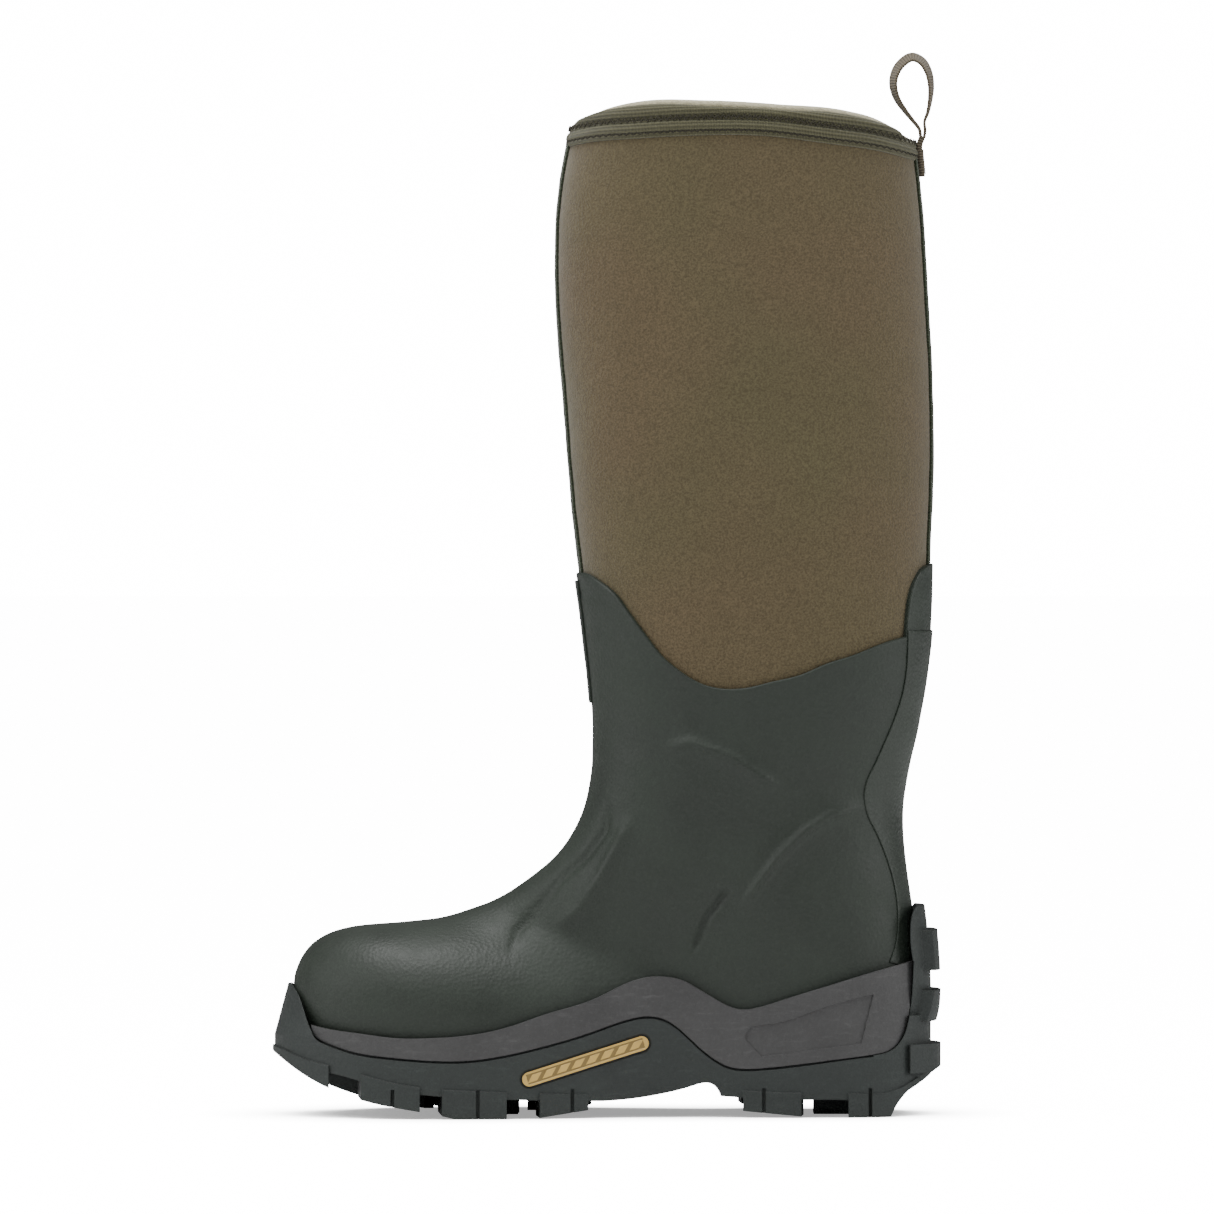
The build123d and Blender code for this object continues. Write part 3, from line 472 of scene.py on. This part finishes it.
def ribbed(name, colour, across, along, dark=0.55, depth=0.0002, diagonal=False, rough=0.9):
    # Woven or knitted tape: ribs and picks spaced in metres on the piece's own cloth coordinates
    material, tree, shader = blank(name, Roughness=rough, Sheen_Weight=0.2, Specular_IOR_Level=0.2)
    cloth = cloth_of(tree)
    place = place_of(tree)
    lean = radians(32) if diagonal else 0
    spin = add(tree, "Mapping", {"Vector": cloth, "Rotation": (0, 0, lean)}).outputs[0]
    bands = []
    for spacing, way in ((across, "X"), (along, "Y")):
        inputs = {"Vector": spin, "Scale": 1 / spacing / WAVES_PER_SCALE}
        bands.append(add(tree, "TexWave", inputs, bands_direction=way).outputs["Fac"])
    ribs, picks = bands
    weave = sums(tree, "ADD", ribs, picks)
    fuzz = noise(tree, place, 0.0007, 2, 0.7)
    base = mix(tree, remap(tree, weave, 0.3, 1.6), shade(colour, dark), shade(colour, 1.1))
    patches = remap(tree, noise(tree, place, 0.014, 3), 0.35, 0.7, 0, 0.35)
    base = mix(tree, patches, base, shade(colour, 0.75))
    tree.links.new(base, shader.inputs["Base Color"])
    soft = bump(tree, fuzz, 0.00015, 0.7)
    tree.links.new(bump(tree, weave, depth, 0.8, soft), shader.inputs["Normal"])
    return material


def fleece(name, colour):
    # Brushed pile lining: pale, soft and very matt
    material, tree, shader = blank(name, Roughness=1.0, Sheen_Weight=0.6, Specular_IOR_Level=0.1)
    place = place_of(tree)
    tufts = noise(tree, place, 0.0022, 4, 0.7)
    tree.links.new(mix(tree, tufts, shade(colour, 0.75), shade(colour, 1.1)), shader.inputs["Base Color"])
    tree.links.new(bump(tree, tufts, 0.0012, 0.9), shader.inputs["Normal"])
    return material


def plain(name, colour, rough=0.7, metal=0.0, size=0.004, depth=0.0002):
    # One even finish with a faint unevenness
    material, tree, shader = blank(name, Roughness=rough, Metallic=metal)
    place = place_of(tree)
    spread = noise(tree, place, size, 3)
    tree.links.new(mix(tree, spread, shade(colour, 0.85), shade(colour, 1.12)), shader.inputs["Base Color"])
    tree.links.new(bump(tree, spread, depth, 0.5), shader.inputs["Normal"])
    return material


def dress(node, material):
    """Gives a CAD node its material in place of the default."""
    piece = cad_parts[node]
    piece.data.materials.clear()
    piece.data.materials.append(material)
    for face in piece.data.polygons:
        face.material_index = 0
    return piece


# ---------------------------------------------------------------- what a user would change
def colour(name, code, use):
    return bpy.props.FloatVectorProperty(
        name=name, description=use, subtype="COLOR", size=4, min=0, max=1, default=linear(code)
    )


def length(name, value, use):
    return bpy.props.FloatProperty(
        name=name, description=use, unit="LENGTH", min=0, precision=5, default=value
    )


class BootColours(bpy.types.PropertyGroup):
    neoprene: colour("Neoprene", "#665b43", "Brushed knit face of the shaft panels")
    vamp: colour("Vamp rubber", "#293029", "Moulded rubber of the vamp, strips and tab")
    foxing: colour("Foxing", "#424242", "Rubber band round the foot above the outsole")
    outsole: colour("Outsole", "#2d3230", "Lugged outsole rubber")
    tape: colour("Seam tape", "#39412f", "Tapes over the front and rear seams")
    binding: colour("Collar binding", "#64624a", "Knitted binding round the collar")
    thread: colour("Thread", "#2f2c20", "Sewing thread")
    webbing: colour("Webbing", "#7a705e", "Pull loop and its tail")
    lining: colour("Lining", "#cfc8a8", "Fleece inside the boot")
    badge: colour("Badge", "#d6b366", "Raised metallic rubber of the badges")


class BootSizes(bpy.types.PropertyGroup):
    ridge: length("Ridge height", 0.0022, "How far the moulded ridges stand off the vamp")
    ridge_width: length("Ridge width", 0.0019, "Half width of the moulded ridges")
    rib: length("Binding rib", 0.0016, "Spacing of the ribs of the collar binding")
    roll: length("Binding roll", 0.0009, "How far the binding swells between its stitch rows")
    stitch: length("Stitch length", 0.0032, "Length of one zigzag of the collar stitching")
    weave: length("Webbing weave", 0.0012, "Spacing of the webbing's picks")


class BOOT_OT_shaft(bpy.types.Operator):
    """Lays the two neoprene panels over the form, from under the binding to below the vamp's top edge"""

    bl_idname = "boot.shaft"
    bl_label = "Shaft panels"

    def execute(self, context):
        stuff = neoprene("NeopreneKnit", context.scene.boot_colours.neoprene)
        sides = (("ShaftOuter", "neoprene_outer", 0), ("ShaftInner", "neoprene_inner", pi))
        for name, node, start in sides:
            turns = np.linspace(start + 0.008, start + pi - 0.008, 150)
            tops = np.array([crossing(t, TOPLINE) for t in turns]) + 0.25
            ends = np.array([crossing(t, SHELL_TOP) for t in turns]) + 5
            rows = tops[None, :] + (ends - tops)[None, :] * np.linspace(0, 1, 230)[:, None]
            points, normal = skin(rows, turns[None, :], 0)
            piece = sheet(name, points, stuff, normal)
            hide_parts(node)
        return {"FINISHED"}


# Moulded lines of the vamp: points in side view, then height and width as shares of the ridge sizes.
# A height below 0 is a groove.
RIDGES = [
    ([(-78, 166), (-67, 168.4), (-49.6, 162.4), (-27.9, 148.2)], 1.0, 1.0),
    ([(8, 139.5), (-6, 136.2), (-17, 128.6), (-28, 117.7), (-38.7, 103.5), (-45, 92.7)], 1.0, 1.0),
    ([(-93, 134), (-99.8, 120), (-107.5, 105.7), (-117, 92.6), (-126, 84)], 0.9, 1.2),
    ([(-49.6, 103.5), (-60.6, 89.3), (-65, 78.4), (-67, 73)], -0.8, 0.9),
    (
        [(-103, 140.6), (-105, 127.5), (-113, 116.6), (-126, 104.6), (-138.4, 89), (-144.5, 82.8),
         (-148.7, 72.5)], -0.9, 0.8,
    ),
]
TOP_GROOVE = [(-122, 236), (-107, 233), (-96, 219), (-83, 202), (-72, 193.5), (-58, 187), (-43, 186.5)]
TOP_GROOVE += [(-19, 192), (5, 201), (42, 211)]
# The rings that close the toe: share of the last ring's size, and millimetres further on
TOE_CAP = ((0.8, 0.8), (0.5, 1.3), (0.2, 1.6), (0.01, 1.7))


class BOOT_OT_vamp(bpy.types.Operator):
    """Lays the moulded rubber vamp over the foot, with its ridges and grooves and its rounded top edge"""

    bl_idname = "boot.vamp"
    bl_label = "Rubber vamp"

    def execute(self, context):
        sizes = context.scene.boot_sizes
        stuff = rubber("VampRubber", context.scene.boot_colours.vamp, 0.56)
        turns = (np.arange(281) + 0.5) * 2 * pi / 280
        edge = [0.3, 0.06, 0.0, 0.05, 0.22, 0.5, 0.95, 1.5, 2.4, 3.4]
        offs = [0.1, 0.6, 1.25, 1.75, 2.12, 2.3, 2.4, 2.43, 2.4, 2.38]
        columns = []
        for turn in turns:
            start = crossing(turn, SHELL_TOP)
            near = down_column(turn, start, edge)
            columns.append(np.r_[near, np.linspace(near[-1], ROWS - 1, 271)[1:]])
        rows = np.array(columns).T
        off = np.r_[offs, np.full(270, 2.38)][:, None] + np.zeros(rows.shape)
        flat, _ = look(rows, turns[None, :])
        x, z = flat[..., 0] / MM, flat[..., 2] / MM
        for line, rise, wide in RIDGES:
            gap, along = near_line(x, z, line)
            ends = np.clip(np.minimum(along, 1 - along) / 0.14, 0, 1)
            crest = np.exp(-((gap / (sizes.ridge_width / MM * wide)) ** 2))
            crest = crest + 0.5 * np.exp(-((gap / 7) ** 2))
            off += rise * sizes.ridge / MM * crest * (0.12 + 0.88 * ends)
        gap, _ = near_line(x, z, TOP_GROOVE)
        off -= 0.28 * np.exp(-((gap / 0.9) ** 2))
        points, normal = skin(rows, turns[None, :], off)
        last = points[-1:]
        middle = last[:, :-1].mean(axis=1, keepdims=True)
        caps = [middle + (last - middle) * f + np.array([-d * MM, 0, 0]) for f, d in TOE_CAP]
        points = np.concatenate([points, *caps])
        normal = np.concatenate([normal] + [normal[-1:]] * 4)
        points[:, -1] = points[:, 0]
        piece = sheet("Vamp", points, stuff, normal)
        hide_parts("rubber_shell")
        return {"FINISHED"}


class BOOT_OT_strips(bpy.types.Operator):
    """Lays the rear strip, the rear tab and the strip down the shin over the vamp"""

    bl_idname = "boot.strips"
    bl_label = "Strips and tab"

    def execute(self, context):
        stuff = rubber("StripRubber", shade(context.scene.boot_colours.vamp, 1.08), 0.46)
        rows = np.linspace(row_at(pi - 0.01, 217.8), row_at(pi - 0.01, 66), 60)
        left = np.array([edge_turn(r, STRIP_EDGE, 1, 3) for r in rows])
        right = np.array([edge_turn(r, STRIP_EDGE, -1, 3) for r in rows])
        piece = patch("RearStrip", rows, left, right, 2.4, 3.1, stuff, bottom=False, lines=150)
        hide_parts("rear_strip")
        rows = np.linspace(row_at(pi - 0.01, 247.7), row_at(pi - 0.01, 214.5), 30)
        left = np.array([edge_turn(r, TAB_EDGE, 1, 2.4) for r in rows])
        right = np.array([edge_turn(r, TAB_EDGE, -1, 2.4) for r in rows])
        piece = patch("RearTab", rows, left, right, 0.2, 2.3, stuff, bottom=False)
        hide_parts("rear_tab")
        rows = np.linspace(row_at(0.01, 240.3), row_at(0.01, 185.2), 30)
        left, right = strap_turns(rows, 0.0, 7.4)
        piece = patch("ShinStrip", rows, left, right, 2.5, 3.5, stuff)
        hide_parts("shin_strip")
        return {"FINISHED"}


class BOOT_OT_tapes(bpy.types.Operator):
    """Lays the seam tapes down the front and the back of the shaft"""

    bl_idname = "boot.tapes"
    bl_label = "Seam tapes"

    def execute(self, context):
        stuff = ribbed("SeamTapeTwill", context.scene.boot_colours.tape, 0.0013, 0.0011, diagonal=True)
        for name, node, centre, high, low in (
            ("FrontTape", "front_seam_tape", 0.0, 436.5, 243.0),
            ("RearTape", "rear_seam_tape", pi, 430.5, 247.5),
        ):
            rows = np.linspace(row_at(centre + 0.01, high), row_at(centre + 0.01, low), 60)
            left, right = strap_turns(rows, centre, 9.4)
            piece = patch(name, rows, left, right, 0.1, 1.15, stuff, lines=200)
            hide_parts(node)
        return {"FINISHED"}


# The collar's two rows of thread: millimetres above the binding's lower edge, half their swing, and off the form
COLLAR_ROWS = ((2.2, 0.5, 1.15), (8.3, 1.0, 1.3))
LINING_EDGE = 0.0021  # radius of the roll of fleece that stands over the collar's inner rim


def binding_face(turns, heights):
    """Rows for heights in millimetres above the binding's lower edge, one column per turn."""
    rows = []
    for turn in turns:
        rows.append(down_column(turn, crossing(turn, BINDING_LOW), -np.asarray(heights)))
    return np.array(rows).T


class BOOT_OT_collar(bpy.types.Operator):
    """Folds the ribbed binding over the collar and sews its two rows"""

    bl_idname = "boot.collar"
    bl_label = "Collar binding"

    def execute(self, context):
        sizes, colours = context.scene.boot_sizes, context.scene.boot_colours
        stuff = ribbed("BindingKnit", colours.binding, 0.0007, sizes.rib, dark=0.36, depth=0.0003)
        yarn = plain("SewingThread", colours.thread, 0.8, size=0.0006)
        turns = (np.arange(361) + 0.5) * 2 * pi / 360
        roll = sizes.roll / MM
        profiles, aims, wraps = [], [], []
        for turn in turns:
            low, top = crossing(turn, BINDING_LOW), crossing(turn, TOPLINE)
            a, _ = look(low, turn)
            b, _ = look(top, turn)
            tall = float(np.linalg.norm(a - b)) / MM
            flat = np.r_[0.0, 0.1, 0.4, 0.8, np.linspace(1.2, tall - 3.6, 34)]
            rows = down_column(turn, low, -flat)
            two = 0.56 * tall
            lower = np.sin(pi * np.clip(flat / two, 0, 1))
            upper = np.sin(pi * np.clip((flat - two) / (tall + 3 - two), 0, 1))
            swell = np.where(flat < two, lower, upper)
            off = 0.85 + roll * np.abs(swell) ** 0.6
            off[:4] = [0.1, 0.5, 0.9, 1.1]
            off -= 0.7 * np.exp(-(((flat - 2.2) / 0.8) ** 2)) + 0.9 * np.exp(-(((flat - 8.3) / 1.3) ** 2))
            face, normal = skin(rows, turn, off)
            up = face[-1] - face[-3]
            up /= np.linalg.norm(up)
            out = normal[-1]
            centre, reach = -2.95, off[-1] + 2.95
            base = face[-1] - out * (off[-1] - centre) * MM
            angle = np.linspace(0, pi, 15)[1:]
            arc = base + (out * np.cos(angle)[:, None] * reach + up * np.sin(angle)[:, None] * 3.9) * MM
            inside = arc[-1] - up * (np.linspace(0, 9.5, 12)[1:, None] * MM)
            line = np.concatenate([face, arc, inside])
            over = out * np.cos(angle)[:, None] + up * np.sin(angle)[:, None]
            aim = np.concatenate([normal, over, np.repeat(-out[None], 11, 0)])
            profiles.append(line)
            aims.append(aim)
            wraps.append(np.r_[0, np.cumsum(np.linalg.norm(np.diff(line, axis=0), axis=1))])
        points, aims = np.array(profiles).transpose(1, 0, 2), np.array(aims).transpose(1, 0, 2)
        points[:, -1] = points[:, 0]
        along = np.r_[0, np.cumsum(np.linalg.norm(np.diff(points[8], axis=0), axis=1))]
        round_way = np.broadcast_to(along, points.shape[:2])
        cloth = np.stack([round_way, np.array(wraps).T, points[..., 0] * 0], 2)
        piece = sheet("CollarBinding", points, stuff, aims, cloth=cloth)
        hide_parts("collar_binding")
        bm = bmesh.new()
        count = 2 * int(along[-1] / sizes.stitch)
        for rise, swing, tall in COLLAR_ROWS:
            spots = (np.arange(count * 3) / (count * 3)) * 2 * pi
            zig = np.abs((np.arange(count * 3) / 3) % 2 - 1) * 2 - 1
            base = binding_face(turns[:-1:4], [rise - swing, rise, rise + swing])
            around = np.r_[turns[:-1:4], 2 * pi + turns[0]]
            low, mid, high = (np.interp(spots, around, np.r_[r, r[0]], period=2 * pi) for r in base)
            rows = mid + np.where(zig > 0, (high - mid) * zig, (mid - low) * zig)
            path, normal = skin(rows, spots, tall)
            tube(bm, path, normal, 0.00027, 6)
        piece = finish_mesh(bm, "CollarStitching", yarn)
        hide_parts("collar_stitching")
        bm = bmesh.new()
        tops = np.array([crossing(t, TOPLINE) for t in turns[:-1:2]])
        path, normal = skin(tops, turns[:-1:2], -6.2)
        path[:, 2] += (0.5 + 0.45 * ripple(path, 3, 0.05)) * MM
        tube(bm, path, normal, LINING_EDGE, 12)
        finish_mesh(bm, "LiningEdge", fleece("LiningEdgePile", colours.lining))
        return {"FINISHED"}


# Middle of the pull loop's webbing, in side-view millimetres from its fold
LOOP = [(0.75, 0.6), (1.2, 4.0), (0.9, 7.5), (2.4, 12.0), (3.55, 18.0), (3.85, 24.5), (2.6, 30.5), (-0.4, 35.2)]
LOOP += [(-4.6, 36.95), (-8.9, 34.6), (-11.9, 30.6), (-13.15, 25.2), (-11.7, 18.7), (-8.2, 13.2), (-4.4, 8.4)]
LOOP += [(-1.3, 4.2), (-0.75, 0.6)]
LOOP_FOLD = (37.0, 438.7)
# Box of stitches on the tail, crossed by one level row and one slanted row. Each is y and drop below the fold,
# at one end and then at the other.
TAIL_ROWS = [(-4, 5, 4, 5), (4, 5, 4, 15.4), (4, 15.4, -4, 15.4), (-4, 15.4, -4, 5)]
TAIL_ROWS += [(-4, 10.2, 4, 10.2), (-4, 5, 4, 10.2)]


def ribbon(bm, path, thick, wide, twist):
    """Adds a flat webbing strap whose middle follows side-view points, with its width across the boot."""
    path = np.array(path, float)
    run = np.r_[0, np.cumsum(np.linalg.norm(np.diff(path, axis=0), axis=1))]
    even = np.linspace(0, run[-1], 110)
    path = np.array([[curve(list(zip(run, path[:, a])), s) for a in (0, 1)] for s in even])
    step = np.gradient(path, axis=0)
    step /= np.linalg.norm(step, axis=1, keepdims=True)
    tip = np.radians(twist) * np.sin(pi * even / run[-1]) ** 2
    flat = np.stack([step[:, 1], 0 * tip, -step[:, 0]], 1)
    side = np.array([0, 1.0, 0]) * np.cos(tip)[:, None] + flat * np.sin(tip)[:, None]
    face = flat * np.cos(tip)[:, None] - np.array([0, 1.0, 0]) * np.sin(tip)[:, None]
    t, w = thick / 2, wide / 2
    top = [(w - 0.6 - k * (wide - 1.2) / 10, t) for k in range(1, 10)]
    ring = [(w, 0.0), (w - 0.12, 0.62 * t), (w - 0.6, t), *top, (0.6 - w, t), (0.12 - w, 0.62 * t)]
    ring = ring + [(-a, -b) for a, b in ring] + [ring[0]]
    centre = np.stack([path[:, 0], 0 * tip, path[:, 1]], 1)
    points = np.array([centre + side * a + face * b for a, b in ring]).transpose(1, 0, 2) * MM
    aims = np.array([side * a * (abs(b) < t) + face * b for a, b in ring]).transpose(1, 0, 2)
    cloth = np.array([np.stack([even, even * 0 + a, even * 0 + b], 1) for a, b in ring])
    cloth = cloth.transpose(1, 0, 2) * MM
    order = grid_into(bm, points)
    where = {v: k for k, v in enumerate(order)}
    bm.normal_update()
    flat_aims = aims.reshape(-1, 3)
    strap = [f for f in bm.faces if f.verts[0] in where]
    if sum(f.normal.dot(Vector(flat_aims[where[f.verts[0]]])) for f in strap) < 0:
        bmesh.ops.reverse_faces(bm, faces=strap)
    values = cloth.reshape(-1, 3)
    return {v: values[k] for v, k in where.items()}


class BOOT_OT_loop(bpy.types.Operator):
    """Folds the webbing pull loop and sews its tail under the collar"""

    bl_idname = "boot.loop"
    bl_label = "Pull loop"

    def execute(self, context):
        sizes, colours = context.scene.boot_sizes, context.scene.boot_colours
        stuff = ribbed("LoopWebbing", colours.webbing, sizes.weave, 0.0018, dark=0.28, depth=0.0003)
        fold_x, fold_z = LOOP_FOLD
        bm = bmesh.new()
        wraps = ribbon(bm, [(fold_x + a, fold_z + b) for a, b in LOOP], 1.3, 10.4, 20.0)
        drop = np.array([-1.2, 0.5, 2.5, 5.0, 8.0, 11.0, 14.0, 16.9])
        back = [look(row_at(pi - 0.01, fold_z - d), pi)[0][0] / MM for d in drop]
        hug = np.clip((drop + 1.2) / 5, 0, 1)
        path = [(fold_x * (1 - h) + (x + 2.3) * h, fold_z - d) for d, x, h in zip(drop, back, hug)]
        wraps.update(ribbon(bm, path, 2.7, 10.7, 0.0))
        open_end = [e for e in bm.edges if e.is_boundary and max(v.co.z for v in e.verts) < 0.43]
        bmesh.ops.holes_fill(bm, edges=open_end)
        cloth = [wraps.get(v, (0, 0, 0)) for v in bm.verts]
        piece = finish_mesh(bm, "PullLoop", stuff, None, cloth)
        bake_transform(piece)
        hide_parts("pull_loop", "pull_loop_tail")
        bm = bmesh.new()
        face = [(x + 3.75, fold_z - d) for d, x in zip(drop, back)]
        reach = list(zip(*face))
        for y0, d0, y1, d1 in TAIL_ROWS:
            spots = np.linspace(0, 1, 41)
            down = fold_z - (d0 + (d1 - d0) * spots)
            out = np.interp(down, reach[1][::-1], reach[0][::-1]) + 0.12 * np.cos(spots * pi * 20)
            path = np.stack([out, y0 + (y1 - y0) * spots, down], 1) * MM
            tube(bm, path, np.repeat([[1.0, 0, 0]], 41, 0), 0.00038, 6, closed=False)
        piece = finish_mesh(bm, "LoopStitching", bpy.data.materials["SewingThread"])
        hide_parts("pull_loop_stitching")
        return {"FINISHED"}


class BOOT_OT_sole(bpy.types.Operator):
    """Gives the outsole, the foxing and the pieces inside the foot their finishes"""

    bl_idname = "boot.sole"
    bl_label = "Sole and inner pieces"

    def execute(self, context):
        colours = context.scene.boot_colours
        dress("outsole", rubber("OutsoleRubber", colours.outsole, 0.62, 0.0011, 0.25, 0.0001, 0.0007))
        dress("foxing_band", rubber("FoxingRubber", colours.foxing, 0.6, 0.0013, 0.3, 0.0001, 0.0006))
        dress("foam_midsole", plain("MidsoleFoam", linear("#3b3b3c"), 0.9, size=0.0015))
        dress("shank", plain("ShankSteel", linear("#8f9295"), 0.35, 1.0))
        dress("lasting_board", plain("LastingFibre", linear("#8a7a5c"), 0.9, size=0.0009))
        dress("footbed", fleece("FootbedFelt", linear("#8d8a7c")))
        dress("fleece_lining", fleece("LiningFleece", colours.lining))
        return {"FINISHED"}


BADGE_SPOT = (-0.1146, 0.0254)  # middle of the badges in side view, in metres
BADGE_TILT = 17.2  # degrees
BADGE_BAR = 0.0034  # half the spacing of the badge's slanted bars


class BOOT_OT_badges(bpy.types.Operator):
    """Gives the two side badges a gold rim round a sunk field with a plain row of slanted bars"""

    bl_idname = "boot.badges"
    bl_label = "Side badges"

    def execute(self, context):
        gold = context.scene.boot_colours.badge
        material, tree, shader = blank("BadgeGold", Roughness=0.42, Metallic=0.55)
        # Gold-coloured rubber bar: a sunk, darker field inside a rim, crossed by plain slanted bars
        x, z = BADGE_SPOT
        inputs = {"Vector": place_of(tree), "Center": (x, 0, z), "Angle": radians(BADGE_TILT)}
        turned = add(tree, "VectorRotate", inputs, rotation_type="Y_AXIS").outputs[0]
        axes = add(tree, "SeparateXYZ", {0: turned})
        along = sums(tree, "ADD", axes.outputs[0], -x)
        up = sums(tree, "ADD", axes.outputs[2], -z)
        far = add(tree, "Math", {0: up}, operation="ABSOLUTE").outputs[0]
        end = add(tree, "Math", {0: along}, operation="ABSOLUTE").outputs[0]
        inside = remap(tree, far, 0.0022, 0.0024, 1, 0)
        field = sums(tree, "MULTIPLY", inside, remap(tree, end, 0.0272, 0.0274, 1, 0))
        beat = sums(tree, "PINGPONG", sums(tree, "SUBTRACT", along, up), BADGE_BAR)
        short = remap(tree, far, 0.0014, 0.0016, 1, 0)
        bars = sums(tree, "MULTIPLY", remap(tree, beat, 0.0011, 0.0013), short)
        dark = sums(tree, "MULTIPLY", field, remap(tree, bars, 0, 1, 1, 0))
        tree.links.new(mix(tree, dark, gold, shade(gold, 0.35)), shader.inputs["Base Color"])
        tree.links.new(remap(tree, dark, 0, 1, 0.35, 0.1), shader.inputs["Metallic"])
        tree.links.new(bump(tree, dark, -0.0004, 0.8), shader.inputs["Normal"])
        for node in ("badge_inner", "badge_outer"):
            dress(node, material)
        return {"FINISHED"}


class BOOT_OT_stage(bpy.types.Operator):
    """Sets the pale floor, the soft lights and the camera"""

    bl_idname = "boot.stage"
    bl_label = "Floor, lights and camera"

    def execute(self, context):
        scene = context.scene
        bm = bmesh.new()
        bmesh.ops.create_grid(bm, x_segments=1, y_segments=1, size=14)
        pale = (0.9, 0.9, 0.9, 1)
        paint, tree, shader = blank("PaleFloor", Base_Color=pale, Roughness=1.0, Specular_IOR_Level=0.0)
        # The camera alone sees the floor glow up to the white of the world behind it; ambient occlusion dims that
        # glow near the boot, a painted contact shadow
        seen = add(tree, "LightPath").outputs["Is Camera Ray"]
        shader.inputs["Emission Color"].default_value = (1, 1, 1, 1)
        # Painted contact shadow: the floor's glow is cut down where ambient occlusion finds the boot close by
        painted_shadow_ao = add(tree, "AmbientOcclusion", {"Distance": 0.045}, samples=8).outputs["AO"]
        lift = sums(tree, "MULTIPLY", seen, remap(tree, painted_shadow_ao, 0.3, 1.0, 0.4, 15.0))
        tree.links.new(lift, shader.inputs["Emission Strength"])
        floor = finish_mesh(bm, "Floor", paint, body=None, smooth=False)
        floor.location.z = -0.0002
        for name, spot, power, size in (
            ("LeftLight", (-2.1, -0.75, 1.0), 19, 1.3), ("RightLight", (1.9, -0.6, 0.8), 20, 1.1),
            ("TopLight", (-0.35, -0.25, 2.2), 46, 1.1), ("FrontLight", (-0.9, -2.3, 1.9), 12, 0.6),
        ):
            data = bpy.data.lights.new(name, "AREA")
            data.energy, data.size = power, size
            lamp = bpy.data.objects.new(name, data)
            lamp.location = spot
            way = Vector((-0.1, 0, 0.2)) - Vector(spot)
            lamp.rotation_euler = way.to_track_quat("-Z", "Y").to_euler()
            scene.collection.objects.link(lamp)
        world = bpy.data.worlds.new("StudioWorld")
        world.use_nodes = True
        back = world.node_tree.nodes["Background"]
        back.inputs[0].default_value = (1, 1, 1, 1)
        seen = add(world.node_tree, "LightPath").outputs["Is Camera Ray"]
        world.node_tree.links.new(remap(world.node_tree, seen, 0, 1, 0.2, 16.0), back.inputs[1])
        scene.world = world
        data = bpy.data.cameras.new("BootCamera")
        data.lens, data.clip_end = 395, 100
        camera = bpy.data.objects.new("BootCamera", data)
        aim = Vector((-0.105, 0, 0.228))
        camera.location = aim + Vector((0, -6, 6 * tan(radians(1.0))))
        camera.rotation_euler = (aim - camera.location).to_track_quat("-Z", "Y").to_euler()
        scene.collection.objects.link(camera)
        scene.camera = camera
        return {"FINISHED"}


class BOOT_PT_panel(bpy.types.Panel):
    """Lists the boot's sizes, colours and builders"""

    bl_label = "Insulated hunting boot"
    bl_idname = "BOOT_PT_panel"
    bl_space_type = "VIEW_3D"
    bl_region_type = "UI"
    bl_category = "Boot"

    def draw(self, context):
        for group in (context.scene.boot_colours, context.scene.boot_sizes):
            for name in group.__annotations__:
                self.layout.prop(group, name)
        for operator in OPERATORS:
            self.layout.operator(operator.bl_idname)


OPERATORS = (
    BOOT_OT_shaft, BOOT_OT_vamp, BOOT_OT_strips, BOOT_OT_tapes, BOOT_OT_collar,
    BOOT_OT_loop, BOOT_OT_sole, BOOT_OT_badges, BOOT_OT_stage,
)
CLASSES = (BootColours, BootSizes, *OPERATORS, BOOT_PT_panel)


def register():
    for item in CLASSES:
        bpy.utils.register_class(item)
    bpy.types.Scene.boot_colours = bpy.props.PointerProperty(type=BootColours)
    bpy.types.Scene.boot_sizes = bpy.props.PointerProperty(type=BootSizes)


def unregister():
    del bpy.types.Scene.boot_colours
    del bpy.types.Scene.boot_sizes
    for item in reversed(CLASSES):
        bpy.utils.unregister_class(item)


def main():
    register()
    for operator in OPERATORS:
        getattr(bpy.ops.boot, operator.bl_idname.split(".")[1])()


if __name__ == "__main__":
    main()
